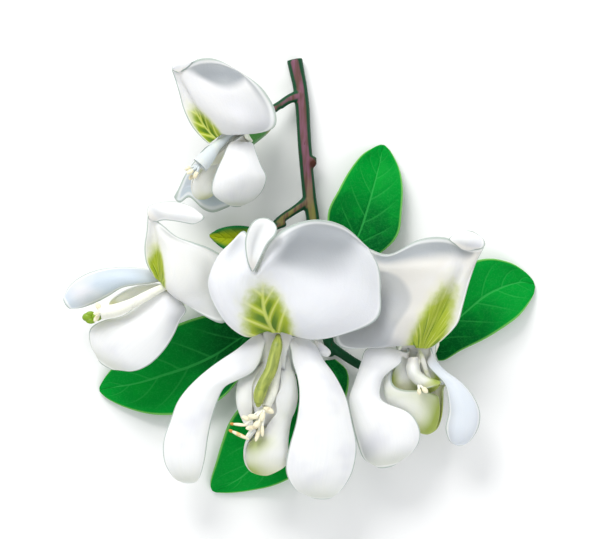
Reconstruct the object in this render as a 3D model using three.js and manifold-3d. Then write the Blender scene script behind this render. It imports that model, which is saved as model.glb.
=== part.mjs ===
// A cut spray of false acacia (black locust) in flower: a twig with four pea-shaped blossoms and five leaflets.
// Millimetres. The spray lies on its back on the plane z = 0. +Y runs towards the cut end of the twig, and +Z
// is up. The blossoms face up. The origin lies on the plane, under the middle of the spray.
import * as THREE from "three";
import { mergeVertices } from "three/addons/utils/BufferGeometryUtils.js";
import Module from "manifold-3d";

const wasm = await Module();
wasm.setup();

// Driving dimensions
const PETAL_THICK = 0.6;
const LEAF_THICK = 0.6;
const TIP_ROUND = 0.2; // how far a wing's or leaflet's tip is rounded out, as a share of its end edge
const CLAW = { ring: 1.45, half: 0.6, depth: 2.6, mouth: 0.5 }; // a petal's stalk, beside the flower's axis
const COLUMN_OFF = 0.5; // the stamens stand on one side of the axis and the pistil on the other
const PISTIL_OFF = 0.56;
const FILAMENT_R = 0.3;
const ANTHER = { half: 0.42, length: 1.5 };
const PEDICEL_GAP = 0.35; // from a flower stalk's end to the foot of its calyx
const CALYX_BACK = 0.7; // the calyx mouth lies this far behind the point where the petals part
const CALYX_LENGTH = 5.6;
const CALYX_OUTSIDE = [
  [0, -CALYX_LENGTH],
  [0.8, -CALYX_LENGTH],
  [1.9, -4.8],
  [2.45, -3.4],
  [2.65, -1.2],
  [2.75, 0],
];
const CALYX_INSIDE = [
  [2.25, 0],
  [2.15, -1.2],
  [2.02, -3.3],
  [0, -4.2],
];
const CALYX_TOOTH = 0.5;
const CALYX_TEETH = 5;

const WHITE = new THREE.MeshStandardMaterial({ color: 0xf4f4f2, roughness: 0.55, metalness: 0 });
const KEEL_WHITE = new THREE.MeshStandardMaterial({ color: 0xe9ecd2, roughness: 0.5, metalness: 0 });
const CREAM = new THREE.MeshStandardMaterial({ color: 0xf3e9b8, roughness: 0.6, metalness: 0 });
const LIME = new THREE.MeshStandardMaterial({ color: 0xa3b044, roughness: 0.55, metalness: 0 });
const CALYX_GREEN = new THREE.MeshStandardMaterial({ color: 0x6f8f2c, roughness: 0.6, metalness: 0 });
const LEAF_GREEN = new THREE.MeshStandardMaterial({ color: 0x0a8a2e, roughness: 0.45, metalness: 0 });
const BARK = new THREE.MeshStandardMaterial({ color: 0x6b4a3c, roughness: 0.7, metalness: 0 });

// The four flowers. mouth is the point where the petals part, opens the way the flower faces, and bannerSide
// the side where the banner stands. A banner is a net of [x, y, z] points: each row runs from its left edge to
// its right edge, and the rows run from the stalk to the top. A lip is the banner's rolled corner, with rows
// from its root to its end.
// A wing is a list of stations [x, y of one edge, x, y of the other, z of both edges, bulge between them].
// A keel is a boat: [x, y, z, half width, half depth, degrees from its bottom to each lip, lean of its slit].
// Column and pistil are [x, y, z, radius].
const UPPER = {
  name: "upper",
  mouth: [-8.2, 17.8, 6.6],
  opens: [-0.72, -0.5, 0.48],
  bannerSide: [-0.2, 0.75, 0.6],
  pistilSide: -1,
  banner: [
    [[-11.0, 17.2, 8.3], [-10.0, 18.1, 8.8], [-9.0, 18.0, 8.9]],
    [
      [-11.6, 16.9, 8.8], [-11.4, 17.6, 8.5], [-11.2, 18.4, 8.5], [-10.6, 18.9, 9.6],
      [-9.2, 18.7, 10.5], [-7.4, 18.3, 10.6], [-5.2, 18.1, 9.9],
    ],
    [
      [-13.4, 18.8, 9.1], [-12.7, 19.4, 8.6], [-12.0, 20.0, 8.7], [-11.7, 20.3, 10.0],
      [-9.6, 20.0, 11.4], [-6.6, 19.4, 11.6], [-3.1, 18.9, 10.0],
    ],
    [
      [-14.5, 21.0, 9.2], [-13.8, 21.3, 8.8], [-13.0, 21.8, 9.0], [-12.6, 21.6, 10.4],
      [-10.3, 21.6, 11.6], [-7.0, 21.4, 12.0], [-3.1, 21.0, 10.2],
    ],
    [
      [-15.1, 23.2, 9.2], [-14.6, 23.3, 9.0], [-14.0, 23.5, 9.2], [-13.4, 23.2, 10.6],
      [-11.2, 23.4, 11.6], [-8.2, 23.4, 12.4], [-4.4, 23.3, 10.4],
    ],
    [
      [-15.6, 24.9, 9.4], [-15.3, 25.0, 9.4], [-14.9, 25.1, 9.6], [-14.0, 24.9, 10.6],
      [-12.2, 25.4, 11.8], [-9.4, 25.5, 12.4], [-5.9, 24.7, 10.8],
    ],
    [
      [-16.0, 26.0, 9.8], [-15.7, 26.3, 9.8], [-15.1, 26.5, 10.0], [-14.1, 26.7, 10.8],
      [-12.2, 27.4, 11.4], [-10.2, 27.2, 11.2], [-7.6, 25.8, 10.4],
    ],
  ],
  lip: [
    [[-15.9, 25.6, 9.8], [-15.0, 25.7, 10.3], [-14.2, 26.0, 10.8]],
    [[-15.95, 26.5, 9.6], [-14.6, 26.9, 10.6], [-13.3, 26.8, 11.2]],
    [[-15.3, 27.2, 9.4], [-13.8, 27.6, 10.4], [-12.2, 27.3, 11.2]],
  ],
  frontWing: [
    [-8.9, 16.6, -6.5, 16.8, 8.4, 8.1, 0.3],
    [-9.6, 15.2, -5.6, 15.8, 8.5, 8.0, 0.8],
    [-10.4, 13.5, -4.8, 14.0, 8.3, 7.8, 1.2],
    [-11.0, 11.9, -4.15, 12.6, 7.9, 7.4, 1.5],
    [-11.0, 10.6, -4.7, 10.9, 7.4, 7.0, 1.3],
    [-10.0, 9.7, -5.9, 9.7, 7.0, 6.6, 0.8],
    [-8.7, 9.15, -7.3, 9.1, 6.6, 6.5, 0.2],
  ],
  backWing: [
    [-11.8, 16.4, -10.9, 15.6, 4.7, 4.5, 0.1],
    [-13.2, 14.7, -11.0, 13.6, 4.1, 3.7, 0.2],
    [-14.4, 13.0, -10.2, 11.8, 3.8, 3.3, 0.3],
    [-15.2, 11.4, -9.4, 10.2, 3.5, 3.2, 0.4],
    [-15.9, 9.9, -8.3, 9.0, 3.3, 3.1, 0.3],
  ],
  keel: [
    [-9.6, 15.2, 5.9, 1.0, 0.8, 95, -20],
    [-10.7, 13.8, 5.9, 1.4, 1.0, 105, -40],
    [-11.6, 12.3, 5.9, 1.8, 1.2, 115, -45],
    [-12.0, 11.0, 5.8, 1.6, 1.1, 150, -66],
    [-11.8, 9.9, 5.6, 0.8, 0.5, 140, -70],
  ],
  column: [
    [-10.3, 16.6, 8.3, 0.6],
    [-11.4, 15.3, 8.6, 0.9],
    [-12.5, 14.1, 8.8, 1.12],
  ],
  anthers: [
    [-13.7, 13.3, 9.2],
    [-13.6, 12.6, 8.6],
    [-13.0, 12.9, 9.4],
    [-14.0, 13.7, 8.4],
  ],
  pistil: [
    [-10.2, 15.9, 7.0, 0.32],
    [-12.0, 14.1, 7.0, 0.3],
    [-13.0, 13.0, 7.2, 0.3],
  ],
  knob: 0.42,
};

const LEFT = {
  name: "left",
  mouth: [-15.6, -1.0, 7.0],
  opens: [-0.85, -0.25, 0.46],
  bannerSide: [0.2, 0.8, 0.6],
  pistilSide: -1,
  banner: [
    [[-17.9, 0.1, 8.5], [-17.2, -0.6, 8.6], [-16.5, -1.4, 8.8]],
    [
      [-18.5, 0.6, 9.4], [-18.0, 0.6, 9.1], [-17.5, 0.5, 8.9], [-17.0, 0.3, 9.7],
      [-16.4, -0.6, 10.4], [-15.6, -1.6, 10.4], [-14.8, -2.5, 10.0], [-13.8, -3.6, 9.4],
    ],
    [
      [-19.2, 2.0, 9.8], [-18.5, 1.8, 9.2], [-17.7, 1.7, 8.9], [-17.1, 1.7, 10.0],
      [-15.9, 1.0, 11.0], [-13.7, -0.4, 10.6], [-11.6, -2.3, 9.2], [-9.6, -5.7, 8.2],
    ],
    [
      [-19.4, 3.8, 9.8], [-18.6, 3.8, 9.3], [-17.8, 3.8, 9.0], [-17.3, 3.8, 10.0],
      [-15.9, 3.2, 10.9], [-13.6, 2.0, 10.4], [-11.4, 0.4, 9.1], [-8.8, -2.7, 8.0],
    ],
    [
      [-19.1, 6.0, 9.7], [-18.6, 6.1, 9.5], [-18.0, 6.2, 9.4], [-17.5, 5.7, 10.2],
      [-16.2, 4.7, 10.7], [-14.0, 3.6, 10.2], [-11.6, 2.5, 9.0], [-9.0, 0.7, 8.1],
    ],
    [
      [-19.0, 7.8, 9.6], [-18.5, 7.6, 9.6], [-17.9, 7.2, 9.6], [-17.0, 6.5, 9.8],
      [-15.4, 5.2, 9.6], [-13.4, 4.5, 9.2], [-11.4, 3.8, 8.6], [-9.4, 2.7, 8.0],
    ],
  ],
  lip: [
    [[-19.1, 7.4, 9.7], [-18.6, 7.2, 9.9], [-18.0, 6.9, 9.9]],
    [[-18.7, 9.1, 9.4], [-17.7, 8.3, 10.6], [-17.0, 7.2, 10.2]],
    [[-15.2, 9.5, 9.8], [-14.9, 8.1, 11.0], [-15.1, 7.0, 10.4]],
    [[-12.4, 8.3, 10.0], [-11.9, 7.5, 10.6], [-12.8, 6.5, 10.2]],
  ],
  frontWing: [
    [-16.7, -1.7, -15.1, -2.7, 7.5, 7.8, 0.2],
    [-18.4, -1.9, -14.2, -4.0, 7.7, 7.6, 0.5],
    [-20.2, -3.2, -15.0, -5.4, 7.6, 7.5, 0.9],
    [-22.2, -4.7, -15.8, -7.2, 7.4, 7.4, 1.2],
    [-24.6, -5.3, -17.1, -9.2, 7.2, 7.2, 1.4],
    [-26.3, -6.4, -18.9, -10.9, 6.8, 6.8, 1.2],
    [-26.2, -8.5, -21.0, -11.7, 6.4, 6.4, 0.7],
    [-25.2, -10.1, -23.2, -11.4, 6.0, 6.0, 0.2],
  ],
  backWing: [
    [-17.8, 0.7, -17.6, -0.5, 6.6, 6.9, 0.1],
    [-19.2, 1.1, -18.8, -0.7, 6.8, 7.3, 0.4],
    [-21.0, 1.3, -20.6, -0.9, 6.8, 7.5, 0.6],
    [-23.2, 1.3, -22.3, -1.25, 6.7, 7.3, 0.8],
    [-25.4, 1.0, -24.0, -2.3, 6.5, 6.8, 0.9],
    [-27.4, 0.2, -25.8, -3.2, 6.2, 6.3, 0.9],
    [-28.9, -1.0, -27.4, -3.75, 5.8, 5.8, 0.6],
    [-29.6, -2.5, -28.7, -3.85, 5.6, 5.6, 0.2],
  ],
  keel: [
    [-18.4, -1.7, 6.2, 0.9, 0.7, 95, 0],
    [-20.4, -2.2, 6.2, 1.1, 0.8, 95, 0],
    [-22.2, -3.0, 6.2, 1.0, 0.8, 100, 0],
    [-23.8, -3.8, 6.1, 0.6, 0.5, 110, 0],
  ],
  column: [
    [-17.8, -1.5, 8.5, 0.5],
    [-19.2, -2.25, 8.9, 0.6],
    [-21.0, -3.2, 9.2, 0.65],
    [-23.0, -4.0, 9.2, 0.8],
    [-24.9, -4.35, 9.0, 0.85],
  ],
  anthers: [
    [-25.2, -3.5, 9.4],
    [-25.4, -4.4, 10.0],
    [-25.4, -5.0, 9.3],
  ],
  pistil: [
    [-18.6, -1.8, 7.4, 0.3],
    [-20.6, -2.6, 7.5, 0.3],
    [-23.4, -4.1, 7.5, 0.32],
    [-25.6, -4.8, 7.9, 0.45],
    [-26.5, -4.9, 8.2, 0.6],
  ],
  knob: 0.75,
};

const MIDDLE = {
  name: "middle",
  mouth: [-2.7, -7.1, 7.6],
  opens: [-0.05, -0.8, 0.6],
  bannerSide: [0, 0.6, 0.8],
  pistilSide: 1,
  banner: [
    [[-4.5, -6.7, 9.3], [-3.4, -6.2, 9.4], [-2.3, -6.7, 9.3]],
    [
      [-6.6, -7.4, 9.8], [-6.0, -6.7, 10.4], [-5.3, -6.0, 10.7], [-4.5, -5.5, 10.6], [-3.6, -5.2, 10.3],
      [-2.8, -5.4, 10.7], [-1.6, -5.9, 11.0], [0.0, -6.7, 10.9], [1.6, -7.7, 10.3],
    ],
    [
      [-9.0, -5.9, 10.2], [-8.2, -5.3, 11.0], [-7.0, -4.6, 11.5], [-5.8, -4.0, 11.6], [-4.35, -3.5, 11.2],
      [-2.8, -3.6, 11.8], [-0.2, -4.4, 12.6], [3.0, -5.8, 12.2], [5.6, -7.0, 11.0],
    ],
    [
      [-10.8, -3.2, 10.6], [-9.9, -2.9, 11.6], [-8.4, -2.5, 12.2], [-6.9, -2.2, 12.8], [-5.0, -1.9, 12.0],
      [-3.0, -1.8, 12.6], [0.8, -2.2, 13.2], [6.0, -3.2, 13.0], [9.7, -5.1, 11.4],
    ],
    [
      [-11.5, -0.8, 10.6], [-10.6, -0.6, 11.9], [-8.9, -0.3, 12.7], [-7.2, -0.4, 13.5], [-5.3, -0.9, 12.7],
      [-3.4, -0.2, 13.2], [1.2, 0.6, 13.4], [6.8, 0.0, 13.3], [10.1, -1.6, 11.6],
    ],
    [
      [-11.1, 1.0, 10.7], [-10.1, 1.6, 12.2], [-8.4, 2.2, 13.0], [-6.8, 1.2, 13.9], [-5.35, 0.0, 13.2],
      [-4.2, 1.0, 13.8], [-0.4, 3.0, 13.8], [6.0, 3.2, 13.8], [9.9, 1.2, 11.8],
    ],
    [
      [-10.3, 2.6, 10.9], [-9.0, 3.7, 12.4], [-7.4, 4.6, 13.4], [-6.4, 2.6, 13.6], [-5.4, 0.4, 13.4],
      [-3.9, 2.4, 14.5], [0.4, 5.7, 15.4], [5.0, 5.5, 15.0], [9.0, 3.0, 12.4],
    ],
    [
      [-9.9, 3.1, 10.5], [-8.4, 4.6, 11.8], [-7.0, 5.9, 13.0], [-6.2, 4.4, 13.5], [-5.4, 0.7, 13.2],
      [-3.2, 5.2, 13.5], [1.0, 7.2, 14.6], [5.2, 6.6, 14.3], [8.7, 3.6, 12.0],
    ],
  ],
  lip: [
    [[-6.3, 0.9, 13.9], [-5.9, 0.8, 13.9], [-5.6, 0.7, 13.9]],
    [[-6.7, 2.8, 14.6], [-5.9, 2.6, 14.4], [-4.9, 2.4, 15.0]],
    [[-6.8, 5.0, 15.2], [-5.4, 4.7, 14.9], [-4.0, 4.2, 15.7]],
    [[-5.9, 7.0, 15.4], [-4.6, 6.3, 15.4], [-3.0, 5.3, 16.2]],
    [[-4.4, 7.9, 15.3], [-3.6, 7.2, 15.6], [-2.3, 6.5, 16.2]],
  ],
  frontWing: [
    [-1.5, -7.8, 0.2, -7.2, 8.0, 7.8, 0.2],
    [-1.1, -9.0, 1.9, -8.3, 8.7, 7.9, 0.6],
    [-0.9, -10.6, 3.0, -10.3, 9.3, 8.1, 1.0],
    [-0.3, -12.6, 4.4, -12.2, 9.7, 8.3, 1.3],
    [-0.1, -15.0, 5.8, -15.0, 9.9, 8.4, 1.5],
    [-0.5, -18.0, 6.5, -18.0, 9.8, 8.6, 1.7],
    [-1.4, -21.2, 7.1, -21.0, 9.4, 8.4, 1.8],
    [-1.8, -24.0, 6.6, -24.2, 8.8, 8.0, 1.6],
    [-0.8, -26.2, 5.2, -26.5, 8.2, 7.6, 0.9],
    [1.4, -27.45, 3.8, -27.45, 7.6, 7.4, 0.2],
  ],
  backWing: [
    [-5.2, -6.9, -4.2, -7.7, 7.8, 8.3, 0.2],
    [-6.5, -7.8, -4.5, -8.8, 7.7, 8.7, 0.5],
    [-8.0, -9.0, -5.0, -10.5, 7.8, 9.2, 0.7],
    [-10.0, -10.3, -6.0, -11.9, 8.0, 9.4, 0.9],
    [-12.0, -11.8, -7.9, -12.8, 8.0, 9.2, 1.0],
    [-14.0, -13.7, -9.4, -13.6, 7.8, 8.8, 1.1],
    [-15.4, -15.6, -10.3, -15.4, 7.6, 8.4, 1.2],
    [-16.2, -17.8, -11.0, -17.6, 7.4, 8.0, 1.3],
    [-17.1, -20.4, -11.5, -20.0, 7.2, 7.6, 1.4],
    [-17.0, -23.0, -11.9, -22.8, 6.8, 7.2, 1.2],
    [-15.9, -24.9, -12.5, -24.8, 6.6, 6.8, 0.7],
    [-14.6, -25.7, -13.4, -25.65, 6.4, 6.5, 0.2],
  ],
  keel: [
    [-3.2, -9.4, 6.8, 1.9, 0.9, 138, 0],
    [-3.8, -11.2, 7.1, 2.9, 1.2, 150, 2],
    [-4.0, -13.0, 7.5, 3.5, 1.6, 154, -2],
    [-4.15, -15.0, 7.7, 3.75, 1.9, 155, -4],
    [-4.0, -17.2, 7.6, 3.2, 1.7, 155, -12],
    [-3.7, -19.3, 7.7, 2.2, 1.5, 158, -38],
    [-4.2, -21.4, 7.7, 2.7, 1.8, 164, -66],
    [-4.3, -23.4, 7.5, 2.4, 1.4, 164, -72],
    [-4.2, -24.7, 7.2, 0.9, 0.5, 150, -72],
  ],
  column: [
    [-2.8, -8.8, 8.2, 0.45],
    [-2.95, -10.2, 8.3, 0.5],
    [-3.3, -12.0, 8.4, 0.6],
    [-3.8, -14.2, 8.7, 0.72],
    [-4.3, -16.1, 9.4, 0.62],
  ],
  anthers: [
    [-4.0, -17.4, 10.7],
    [-5.5, -17.5, 10.8],
    [-6.5, -17.5, 10.4],
    [-5.1, -18.7, 10.3],
    [-6.3, -18.7, 10.2],
    [-8.2, -18.3, 10.2],
    [-8.6, -19.1, 9.8],
    [-6.9, -19.8, 9.6],
  ],
  pistil: [
    [-3.15, -8.4, 9.1, 0.42],
    [-3.3, -9.6, 9.5, 0.48],
    [-3.8, -11.3, 9.8, 0.5],
    [-4.7, -13.0, 10.2, 0.6],
    [-5.2, -14.4, 10.4, 0.72],
    [-5.2, -15.6, 10.5, 0.5],
  ],
  knob: 0.42,
};

const RIGHT = {
  name: "right",
  mouth: [14.9, -9.0, 6.6],
  opens: [0.2, -0.72, 0.66],
  bannerSide: [-0.1, 0.66, 0.72],
  pistilSide: 1,
  banner: [
    [[13.9, -8.2, 8.5], [15.0, -8.4, 8.6], [16.2, -8.7, 8.5]],
    [
      [9.6, -8.7, 8.4], [11.4, -8.1, 9.4], [13.0, -7.6, 10.0], [14.4, -7.0, 9.9],
      [15.3, -7.2, 9.2], [16.4, -7.6, 9.3], [17.6, -7.9, 9.3],
    ],
    [
      [4.6, -8.4, 7.8], [8.0, -6.8, 9.0], [11.8, -5.6, 10.2], [15.2, -5.2, 11.0],
      [16.6, -5.4, 9.8], [18.0, -5.8, 9.8], [19.6, -5.8, 9.8],
    ],
    [
      [4.9, -3.4, 7.4], [8.8, -2.8, 8.6], [12.6, -3.0, 10.0], [16.2, -3.0, 11.2],
      [17.8, -3.2, 10.0], [19.0, -3.4, 10.0], [20.3, -3.6, 10.0],
    ],
    [
      [6.0, 0.4, 7.4], [9.6, 0.0, 8.6], [13.4, -0.4, 10.2], [17.4, -0.8, 11.4],
      [19.0, -1.0, 10.4], [20.0, -0.9, 10.4], [21.1, -0.6, 10.2],
    ],
    [
      [7.2, 2.6, 7.4], [10.4, 1.6, 8.8], [14.6, 2.2, 10.6], [18.6, 2.2, 11.4],
      [20.3, 1.6, 10.8], [21.2, 1.6, 10.8], [22.0, 2.0, 10.6],
    ],
    [
      [8.3, 3.8, 7.2], [11.2, 3.0, 8.0], [14.8, 4.8, 9.0], [18.0, 5.1, 10.4],
      [20.6, 4.0, 11.2], [22.0, 3.7, 11.2], [23.0, 3.9, 11.0],
    ],
  ],
  lip: [
    [[18.2, 4.7, 10.9], [20.6, 3.5, 11.4], [22.8, 3.5, 11.2]],
    [[18.9, 5.2, 10.6], [20.8, 4.8, 12.0], [23.1, 4.3, 11.4]],
    [[19.8, 5.7, 10.6], [21.2, 5.9, 11.4], [22.7, 5.3, 11.2]],
  ],
  frontWing: [
    [15.9, -10.7, 16.9, -10.1, 7.0, 6.8, 0.1],
    [16.9, -12.0, 18.2, -11.6, 7.1, 6.6, 0.3],
    [18.1, -13.3, 20.0, -12.9, 7.1, 6.5, 0.5],
    [18.5, -15.0, 21.5, -14.5, 6.9, 6.3, 0.7],
    [18.6, -16.8, 22.5, -16.6, 6.5, 6.1, 0.9],
    [18.2, -18.8, 22.4, -18.6, 6.1, 5.9, 0.9],
    [18.7, -20.4, 21.4, -20.3, 5.8, 5.7, 0.5],
    [19.6, -20.9, 20.5, -20.85, 5.6, 5.5, 0.15],
  ],
  backWing: [
    [11.4, -8.7, 12.8, -9.8, 7.0, 7.1, 0.2],
    [8.4, -8.8, 12.6, -10.7, 6.8, 7.2, 0.5],
    [7.6, -10.6, 11.0, -11.9, 6.5, 7.2, 0.7],
    [6.8, -13.0, 10.2, -13.1, 6.3, 7.1, 0.9],
    [6.1, -15.2, 10.3, -15.4, 6.2, 7.1, 1.1],
    [6.5, -18.0, 13.8, -16.9, 6.2, 7.3, 1.5],
    [7.2, -20.8, 15.1, -19.4, 6.1, 6.8, 1.4],
    [8.0, -22.7, 14.3, -21.6, 5.9, 6.4, 0.9],
    [9.6, -23.5, 12.2, -23.1, 5.7, 6.0, 0.2],
  ],
  keel: [
    [14.9, -10.9, 5.9, 1.5, 0.8, 92, 0],
    [14.5, -12.0, 6.0, 3.0, 1.0, 105, 4],
    [14.3, -13.2, 6.0, 3.8, 1.3, 125, 12],
    [14.7, -14.5, 5.8, 3.6, 1.4, 150, 50],
    [15.4, -16.4, 5.4, 2.6, 1.3, 158, 66],
    [15.8, -18.2, 5.1, 1.8, 1.0, 156, 70],
    [16.0, -19.6, 4.9, 0.8, 0.5, 145, 70],
  ],
  column: [
    [14.7, -10.4, 7.3, 0.45],
    [14.3, -11.4, 7.2, 0.45],
    [14.4, -12.4, 7.0, 0.45],
    [14.8, -13.2, 7.1, 0.42],
  ],
  anthers: [
    [15.6, -14.0, 8.4],
    [14.9, -14.2, 8.4],
  ],
  pistil: [
    [15.4, -10.4, 7.7, 0.32],
    [15.7, -11.4, 7.3, 0.3],
    [16.0, -12.4, 6.8, 0.3],
  ],
  knob: 0.42,
};

const FLOWERS = [UPPER, LEFT, MIDDLE, RIGHT];

// The leaflets, from stalk to tip: stations as for a wing, with a trough along the midrib.
const LEAVES = {
  leaflet_top: [
    [4.6, 1.2, 5.6, 0.6, 2.4, 2.4, -0.1],
    [3.7, 4.5, 9.4, 2.6, 2.8, 2.6, -0.6],
    [3.5, 8.2, 12.2, 5.2, 3.0, 2.8, -1.0],
    [4.8, 11.0, 12.8, 8.6, 2.8, 2.6, -1.1],
    [6.2, 13.5, 12.9, 11.6, 2.2, 2.1, -1.1],
    [7.8, 15.5, 12.4, 14.0, 1.3, 1.3, -1.02],
    [9.6, 16.6, 11.2, 16.3, 0.6, 0.6, -0.1],
  ],
  leaflet_right: [
    [15.9, -8.9, 16.5, -10.0, 1.2, 1.0, -0.1],
    [16.2, -6.4, 18.0, -10.4, 1.4, 1.2, -0.5],
    [17.2, -3.4, 20.3, -9.1, 1.8, 1.6, -0.8],
    [18.8, -0.6, 23.2, -7.7, 2.2, 2.0, -1.0],
    [20.8, 1.6, 25.8, -6.1, 2.2, 2.2, -1.1],
    [23.6, 2.45, 27.6, -4.7, 1.8, 1.8, -1.1],
    [26.5, 1.9, 28.9, -3.0, 1.2, 1.2, -0.92],
    [28.6, 0.6, 29.4, -2.0, 0.7, 0.7, -0.1],
  ],
  leaflet_left: [
    [-3.6, -4.6, -3.9, -5.6, 1.9, 1.9, -0.1],
    [-5.8, -4.4, -5.0, -8.0, 2.2, 1.8, -0.5],
    [-9.2, -4.4, -6.8, -11.4, 2.4, 2.0, -0.8],
    [-12.4, -4.8, -9.4, -14.8, 2.4, 2.2, -1.0],
    [-15.4, -5.8, -12.6, -16.6, 2.2, 2.2, -1.1],
    [-18.4, -7.2, -15.8, -17.2, 1.9, 1.9, -1.1],
    [-21.2, -9.2, -19.0, -17.1, 1.5, 1.5, -1.1],
    [-23.4, -11.1, -22.2, -16.2, 1.1, 1.1, -0.82],
    [-25.0, -13.1, -24.8, -14.9, 0.7, 0.7, -0.1],
  ],
  leaflet_low: [
    [3.0, -10.4, 4.4, -10.2, 2.0, 2.0, -0.1],
    [1.0, -11.4, 5.9, -11.6, 2.2, 2.0, -0.3],
    [-1.8, -12.6, 6.1, -13.6, 2.4, 2.2, -0.7],
    [-4.6, -14.0, 5.4, -16.4, 2.4, 2.3, -1.0],
    [-7.0, -15.6, 4.2, -19.4, 2.3, 2.3, -1.1],
    [-8.8, -17.9, 2.4, -22.2, 2.1, 2.1, -1.2],
    [-9.8, -20.5, 0.0, -24.4, 1.8, 1.8, -1.2],
    [-10.6, -23.2, -3.0, -26.0, 1.4, 1.4, -1.1],
    [-11.2, -25.2, -6.6, -26.8, 1.0, 1.0, -0.72],
    [-11.3, -26.4, -9.8, -27.1, 0.6, 0.6, -0.1],
  ],
  leaflet_young: [
    [-4.4, 6.0, -4.6, 5.4, 4.2, 4.2, -0.1],
    [-5.6, 6.3, -5.8, 4.4, 4.4, 4.4, -0.3],
    [-7.2, 6.55, -7.4, 3.6, 4.7, 4.7, -0.5],
    [-8.8, 6.5, -8.8, 3.4, 4.9, 4.9, -0.5],
    [-10.2, 6.15, -10.0, 3.9, 4.8, 4.8, -0.3],
    [-11.3, 5.5, -11.2, 5.0, 4.6, 4.6, 0],
  ],
};

// The twig and what branches off it, as [x, y, z, radius]. The flower stalks end under each calyx.
const TWIG = [
  [-0.7, 27.5, 0.9, 1.0],
  [-0.3, 25.5, 1.0, 0.93],
  [0.0, 24.0, 1.2, 0.9],
  [0.3, 21.5, 1.5, 0.9],
  [0.45, 19.0, 1.7, 0.87],
  [0.6, 16.5, 1.9, 0.87],
  [0.8, 14.0, 2.1, 0.85],
  [1.0, 12.0, 2.2, 0.85],
  [1.2, 10.0, 2.3, 0.85],
  [1.6, 7.5, 2.4, 0.84],
  [2.2, 3.0, 2.4, 0.8],
  [2.8, -2.0, 2.3, 0.75],
  [3.4, -7.0, 2.2, 0.7],
  [3.8, -8.9, 2.1, 0.62],
];
const BUD = [1.55, 14.7, 2.2, 0.62];
const LEAF_STALKS = [
  [[2.5, 0.8, 2.4, 0.5], [3.6, 0.6, 2.4, 0.45], [4.75, 0.8, 2.4, 0.4]],
  [
    [3.6, -8.4, 2.1, 0.6],
    [4.9, -9.3, 2.0, 0.6],
    [7.6, -11.0, 1.6, 0.55],
    [10.5, -12.0, 1.2, 0.5],
    [13.5, -11.4, 1.0, 0.45],
    [15.7, -9.75, 1.0, 0.42],
  ],
  [[2.9, -4.2, 2.3, 0.5], [0.0, -4.6, 2.2, 0.45], [-3.3, -5.1, 1.9, 0.4]],
  [[3.8, -8.6, 2.1, 0.5], [3.75, -9.9, 2.0, 0.42]],
  [[-2.0, 7.0, 3.1, 0.5], [-3.0, 6.4, 3.6, 0.42], [-4.1, 5.8, 4.1, 0.38]],
];
const FLOWER_STALKS = {
  upper: [[0.2, 23.0, 1.4, 0.65], [-1.3, 22.5, 2.2, 0.6], [-2.5, 21.7, 2.8, 0.55]],
  left: [
    [1.1, 9.7, 2.3, 0.65],
    [-0.4, 8.7, 2.8, 0.58],
    [-2.6, 7.15, 3.2, 0.55],
    [-5.5, 4.2, 3.0, 0.5],
    [-8.2, 1.6, 3.0, 0.5],
  ],
  middle: [[2.3, 2.0, 2.4, 0.55], [0.0, 1.2, 2.4, 0.5], [-1.8, 0.0, 2.6, 0.5]],
  right: [[2.7, -1.2, 2.4, 0.55], [7.0, -1.2, 1.6, 0.5], [11.0, -2.0, 1.2, 0.5]],
};

const spray = new THREE.Group();
const vec = (p) => new THREE.Vector3(p[0], p[1], p[2]);
const mix = (a, b, k) => a.map((value, n) => value + (b[n] - value) * k);

// Closed surfaces

// A smooth line through points of any number of values, with t from 0 to 1.
function through(points, t) {
  const last = points.length - 1;
  const at = Math.min(Math.max(t, 0), 1) * last;
  const i = Math.min(Math.floor(at), last - 1);
  const f = at - i;
  const p1 = points[i];
  const p2 = points[i + 1];
  const p0 = i > 0 ? points[i - 1] : mix(p1, p2, -1);
  const p3 = i + 2 <= last ? points[i + 2] : mix(p2, p1, -1);
  return p1.map((value, n) => {
    const slope1 = (p2[n] - p0[n]) / 2;
    const slope2 = (p3[n] - value) / 2;
    const rise = p2[n] - value;
    return value + f * (slope1 + f * (3 * rise - 2 * slope1 - slope2 + f * (slope1 + slope2 - 2 * rise)));
  });
}

function closed(positions, index) {
  const geometry = new THREE.BufferGeometry();
  geometry.setAttribute("position", new THREE.Float32BufferAttribute(positions, 3));
  geometry.setIndex(index);
  return geometry;
}

// Turns a closed surface inside out where its volume comes out negative.
function outward(geometry) {
  const p = geometry.getAttribute("position");
  const index = geometry.index.array;
  let volume = 0;
  for (let i = 0; i < index.length; i += 3) {
    const [a, b, c] = [0, 1, 2].map((n) => new THREE.Vector3().fromBufferAttribute(p, index[i + n]));
    volume += a.dot(b.cross(c));
  }
  if (volume < 0) {
    for (let i = 0; i < index.length; i += 3) {
      [index[i + 1], index[i + 2]] = [index[i + 2], index[i + 1]];
    }
  }
  return geometry;
}

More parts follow.
